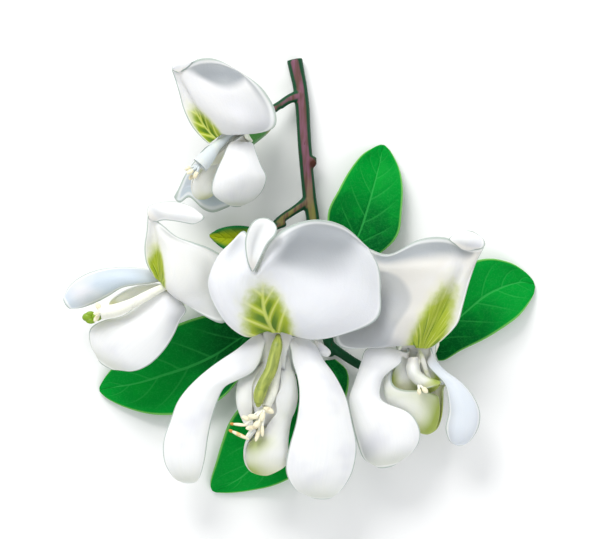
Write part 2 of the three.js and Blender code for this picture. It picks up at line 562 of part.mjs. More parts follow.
// One solid from two faces a thickness apart and the rim between them. surface(u, v) takes 0 to 1 both ways.
function shell(surface, across, along, thick) {
  const step = 1e-3;
  const positions = [];
  const index = [];
  const row = across + 1;
  const count = row * (along + 1);
  for (const side of [0.5, -0.5]) {
    for (let j = 0; j <= along; j++) {
      for (let i = 0; i <= across; i++) {
        const u = i / across;
        const v = j / along;
        const p = vec(surface(u, v));
        const du = vec(surface(Math.min(u + step, 1), v)).sub(vec(surface(Math.max(u - step, 0), v)));
        const dv = vec(surface(u, Math.min(v + step, 1))).sub(vec(surface(u, Math.max(v - step, 0))));
        p.addScaledVector(du.cross(dv).normalize(), side * thick);
        positions.push(p.x, p.y, p.z);
      }
    }
  }
  const quad = (a, b, c, d) => index.push(a, b, c, a, c, d);
  for (let j = 0; j < along; j++) {
    for (let i = 0; i < across; i++) {
      const a = j * row + i;
      const b = a + count;
      index.push(a, a + 1, a + row + 1, a, a + row + 1, a + row);
      index.push(b, b + row + 1, b + 1, b, b + row, b + row + 1);
    }
  }
  const rim = [];
  for (let i = 0; i < across; i++) rim.push(i);
  for (let j = 0; j < along; j++) rim.push(j * row + across);
  for (let i = across; i > 0; i--) rim.push(along * row + i);
  for (let j = along; j > 0; j--) rim.push(j * row);
  rim.forEach((a, n) => {
    const b = rim[(n + 1) % rim.length];
    quad(a, a + count, b + count, b);
  });
  return outward(closed(positions, index));
}

// A round tube of changing radius along [x, y, z, radius] points, with flat ends.
function tube(points, steps, sides) {
  const positions = [];
  const index = [];
  for (let j = 0; j <= steps; j++) {
    const t = j / steps;
    const here = through(points, t);
    const ahead = vec(through(points, Math.min(t + 1e-3, 1)));
    const way = ahead.sub(vec(through(points, Math.max(t - 1e-3, 0)))).normalize();
    const side = new THREE.Vector3(0, 0, 1).cross(way).normalize();
    const top = way.clone().cross(side);
    for (let i = 0; i < sides; i++) {
      const turn = (2 * Math.PI * i) / sides;
      const p = vec(here);
      p.addScaledVector(side, here[3] * Math.cos(turn));
      p.addScaledVector(top, here[3] * Math.sin(turn));
      positions.push(p.x, p.y, p.z);
    }
  }
  for (let j = 0; j < steps; j++) {
    for (let i = 0; i < sides; i++) {
      const a = j * sides + i;
      const b = j * sides + ((i + 1) % sides);
      index.push(a, b, b + sides, a, b + sides, a + sides);
    }
  }
  const far = steps * sides;
  for (let i = 1; i + 1 < sides; i++) index.push(0, i + 1, i, far, far + i, far + i + 1);
  return outward(closed(positions, index));
}

// Booleans

function solid(geometry) {
  const bare = geometry.index ? geometry.toNonIndexed() : geometry.clone();
  const plain = new THREE.BufferGeometry().setAttribute("position", bare.getAttribute("position"));
  const merged = mergeVertices(plain, 1e-4);
  const corners = merged.index.array;
  const kept = [];
  for (let i = 0; i < corners.length; i += 3) {
    const [a, b, c] = [corners[i], corners[i + 1], corners[i + 2]];
    if (a !== b && b !== c && a !== c) kept.push(a, b, c);
  }
  const mesh = new wasm.Mesh({
    numProp: 3,
    vertProperties: new Float32Array(merged.attributes.position.array),
    triVerts: new Uint32Array(kept),
  });
  return new wasm.Manifold(mesh);
}

function fuse(geometries) {
  const mesh = geometries
    .map(solid)
    .reduce((all, one) => all.add(one))
    .getMesh();
  return closed(Array.from(mesh.vertProperties), Array.from(mesh.triVerts));
}

// What would dip below the plane lies flat on it.
function settle(geometry) {
  const p = geometry.getAttribute("position");
  for (let i = 0; i < p.count; i++) p.setZ(i, Math.max(p.getZ(i), 0));
  return geometry;
}

function add(name, geometry, material) {
  const mesh = new THREE.Mesh(geometry, material);
  mesh.name = name;
  spray.add(mesh);
}

// The parts of a flower

// A flower's own directions, and the point that lies so far out of the mouth, towards the banner and sideways.
function frameOf(flower) {
  const axis = vec(flower.opens).normalize();
  const up = vec(flower.bannerSide);
  up.addScaledVector(axis, -up.dot(axis)).normalize();
  const side = axis.clone().cross(up);
  const place = (out, banner, sideways) =>
    vec(flower.mouth)
      .addScaledVector(axis, out)
      .addScaledVector(up, banner)
      .addScaledVector(side, sideways)
      .toArray();
  return { axis, up, side, place };
}

// Rows of points across a petal's stalk in the calyx. turn is 0 on the banner's side. near is the corner where
// the blade's first edge starts, so that the stalk isn't twisted over.
function clawRows(flower, turn, columns, near) {
  const { place } = frameOf(flower);
  const outs = [-CLAW.depth, CLAW.mouth];
  const rows = outs.map((out) =>
    Array.from({ length: columns }, (_, i) => {
      const off = CLAW.half * ((2 * i) / (columns - 1) - 1);
      const banner = CLAW.ring * Math.cos(turn) - off * Math.sin(turn);
      const sideways = CLAW.ring * Math.sin(turn) + off * Math.cos(turn);
      return place(out, banner, sideways);
    }),
  );
  const ends = [rows[1][0], rows[1][columns - 1]].map((p) => vec(p).distanceTo(vec(near)));
  if (ends[1] < ends[0]) rows.forEach((row) => row.reverse());
  return rows;
}

function banner(flower) {
  const rows = [...clawRows(flower, 0, 3, flower.banner[0][0]), ...flower.banner];
  const net = (list) => (u, v) => through(list.map((row) => through(row, u)), v);
  const blade = shell(net(rows), 18, 13, PETAL_THICK);
  const lip = shell(net(flower.lip), 4, 5, PETAL_THICK);
  return fuse([blade, lip]);
}

// A surface between two edges that bulges between them. sharp is 2 for a round section and less for a crease.
function between(stations, sharp) {
  const [before, last] = stations.slice(-2);
  const middle = ([ax, ay, bx, by, az, bz]) => vec([(ax + bx) / 2, (ay + by) / 2, (az + bz) / 2]);
  const way = middle(last).sub(middle(before)).normalize();
  const round = TIP_ROUND * Math.hypot(last[2] - last[0], last[3] - last[1]);
  return (u, v) => {
    const [ax, ay, bx, by, az, bz, bulge] = through(stations, v);
    const arch = 1 - Math.abs(2 * u - 1) ** sharp;
    const tip = round * Math.sqrt(1 - (2 * u - 1) ** 2) * Math.max(0, (v - 0.85) / 0.15) ** 2;
    const point = [ax + (bx - ax) * u, ay + (by - ay) * u, az + (bz - az) * u + bulge * arch];
    return vec(point).addScaledVector(way, tip).toArray();
  };
}

function wing(flower, stations, turn) {
  const first = stations[0];
  const stalk = clawRows(flower, turn, 2, [first[0], first[1], first[4]]);
  const start = stalk.map(([a, b]) => [a[0], a[1], b[0], b[1], a[2], b[2], 0]);
  return shell(between([...start, ...stations], 2), 6, 12, PETAL_THICK);
}

function keel(flower) {
  const { place } = frameOf(flower);
  const start = [-CLAW.depth, CLAW.mouth].map((out) => [...place(out, 0.35 - CLAW.ring, 0), 0.85, 0.35, 62, 0]);
  const stations = [...start, ...flower.keel];
  const hull = (u, v) => {
    const here = through(stations, v);
    const ahead = vec(through(stations, Math.min(v + 1e-2, 1)));
    const way = ahead.sub(vec(through(stations, Math.max(v - 1e-2, 0)))).normalize();
    const side = way.clone().cross(new THREE.Vector3(0, 0, 1)).normalize();
    const top = side.clone().cross(way);
    const turn = THREE.MathUtils.degToRad(here[5] * (2 * u - 1) + here[6]);
    return vec(here)
      .addScaledVector(side, here[3] * Math.sin(turn))
      .addScaledVector(top, -here[4] * Math.cos(turn))
      .toArray();
  };
  return shell(hull, 9, 11, PETAL_THICK);
}

// The stamens: a column of joined stalks that parts into short threads, each with its anther.
function stamens(flower) {
  const { place } = frameOf(flower);
  const off = -COLUMN_OFF * flower.pistilSide;
  const inside = [-2.8, 0.3].map((out) => [...place(out, off, 0), 0.42]);
  const root = flower.column[flower.column.length - 1].slice(0, 3);
  const parts = [tube([...inside, ...flower.column], 9, 6)];
  flower.anthers.forEach((tip) => {
    const middle = mix(root, tip, 0.5);
    middle[2] += 0.35;
    const from = mix(root, middle, -0.1);
    parts.push(tube([[...from, FILAMENT_R], [...middle, FILAMENT_R], [...tip, FILAMENT_R]], 2, 4));
    const anther = new THREE.IcosahedronGeometry(1, 0);
    anther.scale(ANTHER.half, ANTHER.length / 2, ANTHER.half);
    const way = vec(tip).sub(vec(middle)).normalize();
    anther.applyQuaternion(new THREE.Quaternion().setFromUnitVectors(new THREE.Vector3(0, 1, 0), way));
    anther.translate(...tip);
    parts.push(anther);
  });
  return fuse(parts);
}

// The slender ovary with its style and its knob.
function pistil(flower) {
  const { place } = frameOf(flower);
  const off = PISTIL_OFF * flower.pistilSide;
  const inside = [-2.8, 0.3].map((out) => [...place(out, off, 0), 0.3]);
  const knob = new THREE.IcosahedronGeometry(flower.knob, 0);
  knob.translate(...flower.pistil[flower.pistil.length - 1].slice(0, 3));
  return fuse([tube([...inside, ...flower.pistil], 10, 6), knob]);
}

// A bell with short teeth.
function calyx(flower) {
  const profile = [...CALYX_OUTSIDE, ...CALYX_INSIDE].map(([r, z]) => new THREE.Vector2(r, z));
  const bell = new THREE.LatheGeometry(profile, 15);
  const p = bell.getAttribute("position");
  for (let i = 0; i < p.count; i++) {
    const turn = Math.atan2(p.getX(i), p.getZ(i));
    const share = Math.max(0, 1 + p.getY(i) / 1.2);
    p.setY(i, p.getY(i) + share * CALYX_TOOTH * Math.cos((CALYX_TEETH * turn) / 2) ** 2);
  }
  const { axis, up, side, place } = frameOf(flower);
  bell.applyMatrix4(new THREE.Matrix4().makeBasis(side.clone().negate(), axis, up));
  bell.translate(...place(-CALYX_BACK, 0, 0));
  return fuse([outward(bell)]);
}

// The twig

function flowerStalk(flower) {
  const { place } = frameOf(flower);
  const foot = CALYX_BACK + CALYX_LENGTH + PEDICEL_GAP;
  const end = [[...place(-foot - 1.6, 0, 0), 0.5], [...place(-foot, 0, 0), 0.55]];
  return tube([...FLOWER_STALKS[flower.name], ...end], 7, 6);
}

function twig() {
  const bud = new THREE.IcosahedronGeometry(BUD[3], 0);
  bud.scale(1, 1.25, 1);
  bud.translate(...BUD.slice(0, 3));
  const parts = [
    tube(TWIG, 20, 9),
    bud,
    ...FLOWERS.map(flowerStalk),
    ...LEAF_STALKS.map((line) => tube(line, 2 * line.length - 2, 6)),
  ];
  return settle(fuse(parts));
}

add("twig", twig(), BARK);
for (const [name, stations] of Object.entries(LEAVES)) {
  add(name, settle(shell(between(stations, 1.4), 6, 10, LEAF_THICK)), LEAF_GREEN);
}
for (const flower of FLOWERS) {
  add(`calyx_${flower.name}`, calyx(flower), CALYX_GREEN);
  add(`banner_${flower.name}`, banner(flower), WHITE);
  add(`wing_front_${flower.name}`, wing(flower, flower.frontWing, -Math.PI / 2), WHITE);
  add(`wing_back_${flower.name}`, wing(flower, flower.backWing, Math.PI / 2), WHITE);
  add(`keel_${flower.name}`, keel(flower), KEEL_WHITE);
  add(`stamens_${flower.name}`, stamens(flower), CREAM);
  add(`pistil_${flower.name}`, pistil(flower), LIME);
}

// The origin goes under the middle of the whole.
const centre = new THREE.Box3().setFromObject(spray).getCenter(new THREE.Vector3());
spray.children.forEach((mesh) => mesh.geometry.translate(-centre.x, -centre.y, 0));

export default spray;
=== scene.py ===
import math

import bmesh
import bpy
from bpy.props import FloatProperty, FloatVectorProperty, PointerProperty
from mathutils import Matrix, Vector


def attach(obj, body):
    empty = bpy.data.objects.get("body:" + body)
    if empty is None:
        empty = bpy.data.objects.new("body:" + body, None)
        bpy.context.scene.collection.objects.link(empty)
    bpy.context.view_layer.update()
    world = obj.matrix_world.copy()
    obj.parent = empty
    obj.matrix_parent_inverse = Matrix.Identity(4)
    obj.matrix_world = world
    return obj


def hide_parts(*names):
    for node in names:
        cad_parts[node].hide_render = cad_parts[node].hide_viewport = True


bl_info = {
    "name": "False acacia spray",
    "version": (1, 0, 0),
    "blender": (4, 5, 0),
    "location": "3D View > Sidebar > Spray",
    "description": "Makes the petals, leaflets and bark of a cut spray of false acacia",
    "category": "Add Mesh",
}

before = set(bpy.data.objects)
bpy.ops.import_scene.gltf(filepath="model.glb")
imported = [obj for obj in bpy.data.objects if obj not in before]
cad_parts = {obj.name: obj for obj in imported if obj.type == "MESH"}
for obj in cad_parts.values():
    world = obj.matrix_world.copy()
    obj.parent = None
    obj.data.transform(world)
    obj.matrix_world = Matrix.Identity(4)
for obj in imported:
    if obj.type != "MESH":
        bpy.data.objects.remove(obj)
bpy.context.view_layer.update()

MM = 0.001
SHIFT = Vector((0.044, 0.133, 0.0))  # puts the middle of the spray over the origin

# A petal's stalk in the calyx: its distance from the flower's axis, its half width, and how far it reaches
# back and forward from the point where the petals part.
CLAW = {"ring": 1.45, "half": 0.6, "depth": 2.6, "mouth": 0.5}
INSIDE = (-2.8, 0.3)  # where a column's or pistil's foot starts and ends, along the flower's axis
COLUMN_OFF = 0.5  # how far a column stands from that axis
PISTIL_OFF = 0.56  # how far a pistil stands from it, on the other side
TIP_ROUND = 0.2  # how far a petal's or leaflet's end swells out, as a share of its width
TIP_FROM = 0.85  # where that swelling starts, as a share of its length
RIM_SHARE = 0.35  # how thick a petal's or leaflet's rim is, as a share of its thickness
TABLE_LEVEL = 0.25  # the lowest that a leaflet's middle surface may lie
KEEL_RIM = (7, 12)  # width and length of the right keel, the only one with a marked rim

PEDICEL_GAP = 0.35  # between a calyx and its stalk
CALYX_BACK = 0.7  # how far a calyx's mouth lies behind the point where the petals part
CALYX_LENGTH = 5.6
# The calyx's outline: [radius, height over its mouth].
CALYX_OUTSIDE = [[0, -5.6], [0.8, -5.6], [1.9, -4.8], [2.45, -3.4], [2.65, -1.2], [2.75, 0]]
CALYX_RIM = [[2.68, 0.1], [2.5, 0.15], [2.32, 0.1]]
CALYX_INSIDE = [[2.25, 0], [2.15, -1.2], [2.02, -3.3], [0, -4.2]]
CALYX_MIDDLE = [[2.5, 0], [2.4, -1.2], [2.25, -3], [1.6, -4.4], [0.5, -5.6]]  # halfway between the two
CALYX_FLOOR = -4.3  # the lining's lowest point
CALYX_TOOTH = 0.5  # height of its teeth
CALYX_TEETH = 5
CALYX_SLIM = {"upper": 0.86}  # how much narrower a calyx is than the others

# A leaflet's side veins, in its sheet and in its material alike.
VEIN_PAIRS = 6.5  # how many run along each half
VEIN_LEAN = 0.2  # how far a side vein climbs on its way to the rim, as a share of the leaflet's length
VEIN_CURVE = 0.06  # how far it climbs on top of that, mostly near the rim
VEIN_SHIFT = 0.04  # how much lower the right half's veins start
GRAIN = 5200  # how fine the petals' grain is
FINE_VEINS = (34, 2.6, 1)  # how close their fine veins lie, across and along

# The bud on the twig: two beads, each with its centre, way, half width and length.
BUD = [((1.5, 14.6, 2.2), (0.2, -1, 0), 0.62, 1.5), ((1.75, 15, 2.2), (1, 0.3, 0), 0.28, 0.7)]
BUD_SCAR = (1.65, 14.35, 2.2)  # the middle of the dark scar on it

ANTHER_SIZES = ((0.34, 1.0), (0.29, 0.85), (0.3, 1.1), (0.36, 0.9))  # half width and length, in turn
RIPE = 2  # how many of the middle flower's anthers are ripe
# The lumps of the left flower's knob: place from its middle, way where it isn't the pistil's own, half width,
# length and cleft.
LUMPS = [
    [(0.35, -0.42, 0.1), None, 0.5, 1.3, 0.4],
    [(0.3, 0.42, 0.2), None, 0.42, 1.2, 0.4],
    [(1.05, 0, 0.25), (-1, 0.2, 0), 0.55, 1.4, 0.5],
]

# Squares across and along each kind of sheet.
GRIDS = {
    "banner": (56, 44), "lip": (14, 20), "wing": (26, 42), "lobe": (10, 12),
    "keel": (36, 52), "lining": (12, 20), "curl": (12, 18), "leaf": (36, 58),
}
VOXEL = 0.00014  # how fine the twig's grown skin is, in metres

SPRAY_MIDDLE = (0.0, 1.0625, 8.0)  # where the camera looks
SENSOR = 36  # width of the camera's sensor

# The four flowers. mouth is the point where the petals part, opens the way the flower faces, and banner_side
# the side where the banner stands. pistil_side is 1 where the pistil stands nearer to the banner than the
# column does and -1 where it stands farther, and knob is the radius at its end.
# A banner is a net of [x, y, z] points: each row runs from its left edge to its right edge, and the rows run
# from the stalk to the top. A lip is the banner's rolled corner.
# A wing is a list of stations [x, y of one edge, x, y of the other, z of both edges, bulge between them].
# A keel is a boat: [x, y, z, half width, half depth, degrees from its bottom to each lip, lean of its slit].
# Column and pistil are [x, y, z, radius]. An anther is [x, y, z], or in the middle flower [x, y, z, way in x,
# way in y, half width, length], the ripe ones first.
UPPER = {
    "name": "upper", "mouth": [-8.2, 17.8, 6.6], "opens": [-0.72, -0.5, 0.48],
    "banner_side": [-0.2, 0.75, 0.6], "pistil_side": -1, "knob": 0.42,
    "banner": [
        [[-11, 17.2, 8.3], [-10, 18.1, 8.8], [-9, 18, 8.9]],
        [[-11.6, 16.9, 8.8], [-11.4, 17.6, 8.5], [-11.2, 18.4, 8.5], [-10.6, 18.9, 9.6], [-9.2, 18.7, 10.5],
         [-7.4, 18.3, 10.6], [-5.2, 18.1, 9.9]],
        [[-13.4, 18.8, 9.1], [-12.7, 19.4, 8.6], [-12, 20, 8.7], [-11.7, 20.3, 10], [-9.6, 20, 11.4],
         [-6.6, 19.4, 11.6], [-3.1, 18.9, 10]],
        [[-14.5, 21, 9.2], [-13.8, 21.3, 8.8], [-13, 21.8, 9], [-12.6, 21.6, 10.4], [-10.3, 21.6, 11.6],
         [-7, 21.4, 12], [-3.1, 21, 10.2]],
        [[-15.1, 23.2, 9.2], [-14.6, 23.3, 9], [-14, 23.5, 9.2], [-13.4, 23.2, 10.6], [-11.2, 23.4, 11.6],
         [-8.2, 23.4, 12.4], [-4.4, 23.3, 10.4]],
        [[-15.6, 24.9, 9.4], [-15.3, 25, 9.4], [-14.9, 25.1, 9.6], [-14, 24.9, 10.6], [-12.2, 25.4, 11.8],
         [-9.4, 25.5, 12.4], [-5.9, 24.7, 10.8]],
        [[-16, 26, 9.8], [-15.7, 26.3, 9.8], [-15.1, 26.5, 10], [-14.1, 26.7, 10.8], [-12.2, 27.4, 11.4],
         [-10.2, 27.2, 11.2], [-7.6, 25.8, 10.4]],
    ],
    "lip": [
        [[-15.9, 25.6, 9.8], [-15, 25.7, 10.3], [-14.2, 26, 10.8]],
        [[-15.95, 26.5, 9.6], [-14.6, 26.9, 10.6], [-13.3, 26.8, 11.2]],
        [[-15.3, 27.2, 9.4], [-13.8, 27.6, 10.4], [-12.2, 27.3, 11.2]],
    ],
    "front_wing": [
        [-8.9, 16.7, -6, 16.9, 8.4, 8.1, 0.3], [-9.6, 15.2, -5.5, 15.8, 8.5, 8, 0.8],
        [-10.4, 13.5, -4.8, 14, 8.3, 7.8, 1.2], [-11, 11.9, -4.15, 12.6, 7.9, 7.4, 1.5],
        [-11, 10.6, -4.7, 10.9, 7.4, 7, 1.3], [-10, 9.7, -5.9, 9.7, 7, 6.6, 0.8],
        [-8.7, 9.15, -7.3, 9.1, 6.6, 6.5, 0.2],
    ],
    "back_wing": [
        [-11.8, 16.4, -10.9, 15.6, 4.7, 4.5, 0.1], [-13.2, 14.7, -11, 13.6, 4.1, 3.7, 0.2],
        [-14.4, 13, -10.2, 11.8, 3.8, 3.3, 0.3], [-15.2, 11.4, -9.4, 10.2, 3.5, 3.2, 0.4],
        [-15.9, 10.3, -8.4, 9.7, 3.3, 3.1, 0.3],
    ],
    "keel": [
        [-9.6, 15.2, 5.9, 1, 0.8, 110, -30], [-10.7, 13.8, 5.9, 1.4, 1, 140, -60],
        [-11.6, 12.3, 5.9, 1.8, 1.2, 160, -75], [-12, 11, 5.8, 1.6, 1.1, 170, -80],
        [-11.8, 9.9, 5.6, 0.8, 0.5, 172, -80],
    ],
    "column": [[-10.3, 16.6, 8.3, 0.6], [-11.4, 15.3, 8.6, 0.9], [-12.5, 14.1, 8.8, 1.12]],
    "anthers": [[-13.7, 13.3, 9.2], [-13.6, 12.6, 8.6], [-13, 12.9, 9.4], [-14, 13.7, 8.4]],
    "pistil": [[-10.2, 15.9, 7, 0.32], [-12, 14.1, 7, 0.3], [-13, 13, 7.2, 0.3]],
}

LEFT = {
    "name": "left", "mouth": [-15.6, -1, 7], "opens": [-0.85, -0.25, 0.46], "banner_side": [0.2, 0.8, 0.6],
    "pistil_side": -1, "knob": 0.75,
    "banner": [
        [[-17.9, 0.1, 8.5], [-17.2, -0.6, 8.6], [-16.5, -1.4, 8.8]],
        [[-18.5, 0.6, 9.4], [-18, 0.6, 9.1], [-17.5, 0.5, 8.9], [-17, 0.3, 9.7], [-16.4, -0.6, 10.4],
         [-15.6, -1.6, 10.4], [-14.8, -2.5, 10], [-13.8, -3.6, 9.4]],
        [[-19.2, 2, 9.8], [-18.5, 1.8, 9.2], [-17.7, 1.7, 8.9], [-17.1, 1.7, 10], [-15.9, 1, 11],
         [-13.7, -0.4, 10.6], [-11.6, -2.3, 9.2], [-9.6, -5.7, 8.2]],
        [[-19.4, 3.8, 9.8], [-18.6, 3.8, 9.3], [-17.8, 3.8, 9], [-17.3, 3.8, 10], [-15.9, 3.2, 10.9],
         [-13.6, 2, 10.4], [-11.4, 0.4, 9.1], [-8.8, -2.7, 8]],
        [[-19.1, 6, 9.7], [-18.6, 6.1, 9.5], [-18, 6.2, 9.4], [-17.5, 5.7, 10.2], [-16.2, 4.7, 10.7],
         [-14, 3.6, 10.2], [-11.6, 2.5, 9], [-9, 0.7, 8.1]],
        [[-19, 7.8, 9.6], [-18.5, 7.6, 9.6], [-17.9, 7.2, 9.6], [-17, 6.5, 9.8], [-15.4, 5.2, 9.6],
         [-13.4, 4.5, 9.2], [-11.4, 3.8, 8.6], [-9.4, 2.7, 8]],
    ],
    "lip": [
        [[-19.1, 7.4, 9.7], [-18.6, 7.2, 9.9], [-18, 6.9, 9.9]],
        [[-18.7, 9.1, 9.4], [-17.7, 8.3, 10.6], [-17, 7.2, 10.2]],
        [[-15.2, 9.5, 9.8], [-14.9, 8.1, 11], [-15.1, 7, 10.4]],
        [[-12.4, 8.3, 10], [-11.9, 7.5, 10.6], [-12.8, 6.5, 10.2]],
    ],
    "front_wing": [
        [-16.7, -1.7, -15.1, -2.7, 7.5, 7.8, 0.2], [-18.4, -1.9, -14.2, -4, 7.7, 7.6, 0.5],
        [-20.2, -3.2, -15, -5.4, 7.6, 7.5, 0.9], [-22.2, -4.7, -15.8, -7.2, 7.4, 7.4, 1.2],
        [-24.6, -5.3, -17.1, -9.2, 7.2, 7.2, 1.4], [-26.3, -6.4, -18.9, -10.9, 6.8, 6.8, 1.2],
        [-26.2, -8.5, -21, -11.7, 6.4, 6.4, 0.7], [-25.2, -10.1, -23.2, -11.4, 6, 6, 0.2],
    ],
    "back_wing": [
        [-17.8, 0.7, -17.6, -0.5, 6.6, 6.9, 0.1], [-19.2, 1.1, -18.8, -0.7, 6.8, 7.3, 0.4],
        [-21, 1.3, -20.6, -0.9, 6.8, 7.5, 0.6], [-23.2, 1.3, -22.3, -1.25, 6.7, 7.3, 0.8],
        [-25.4, 1, -24, -2.3, 6.5, 6.8, 0.9], [-27.4, 0.2, -25.8, -3.2, 6.2, 6.3, 0.9],
        [-28.9, -1, -27.4, -3.75, 5.8, 5.8, 0.6], [-29.6, -2.5, -28.7, -3.85, 5.6, 5.6, 0.2],
    ],
    "keel": [
        [-18.4, -1.7, 6.2, 0.9, 0.7, 95, 0], [-20.4, -2.2, 6.2, 1.1, 0.8, 95, 0],
        [-22.2, -3, 6.2, 1, 0.8, 100, 0], [-23.8, -3.8, 6.1, 0.6, 0.5, 110, 0],
    ],
    "column": [
        [-17.8, -1.5, 8.5, 0.5], [-19.2, -2.25, 8.9, 0.6], [-21, -3.2, 9.2, 0.65], [-23, -4, 9.2, 0.8],
        [-24.9, -4.35, 9, 0.85],
    ],
    "anthers": [[-25.2, -3.5, 9.4], [-25.4, -4.4, 10], [-25.4, -5, 9.3]],
    "pistil": [
        [-18.6, -1.8, 7.4, 0.3], [-20.6, -2.6, 7.5, 0.3], [-23.4, -4.1, 7.5, 0.32], [-25.6, -4.8, 7.9, 0.45],
        [-26.5, -4.9, 8.2, 0.6],
    ],
}

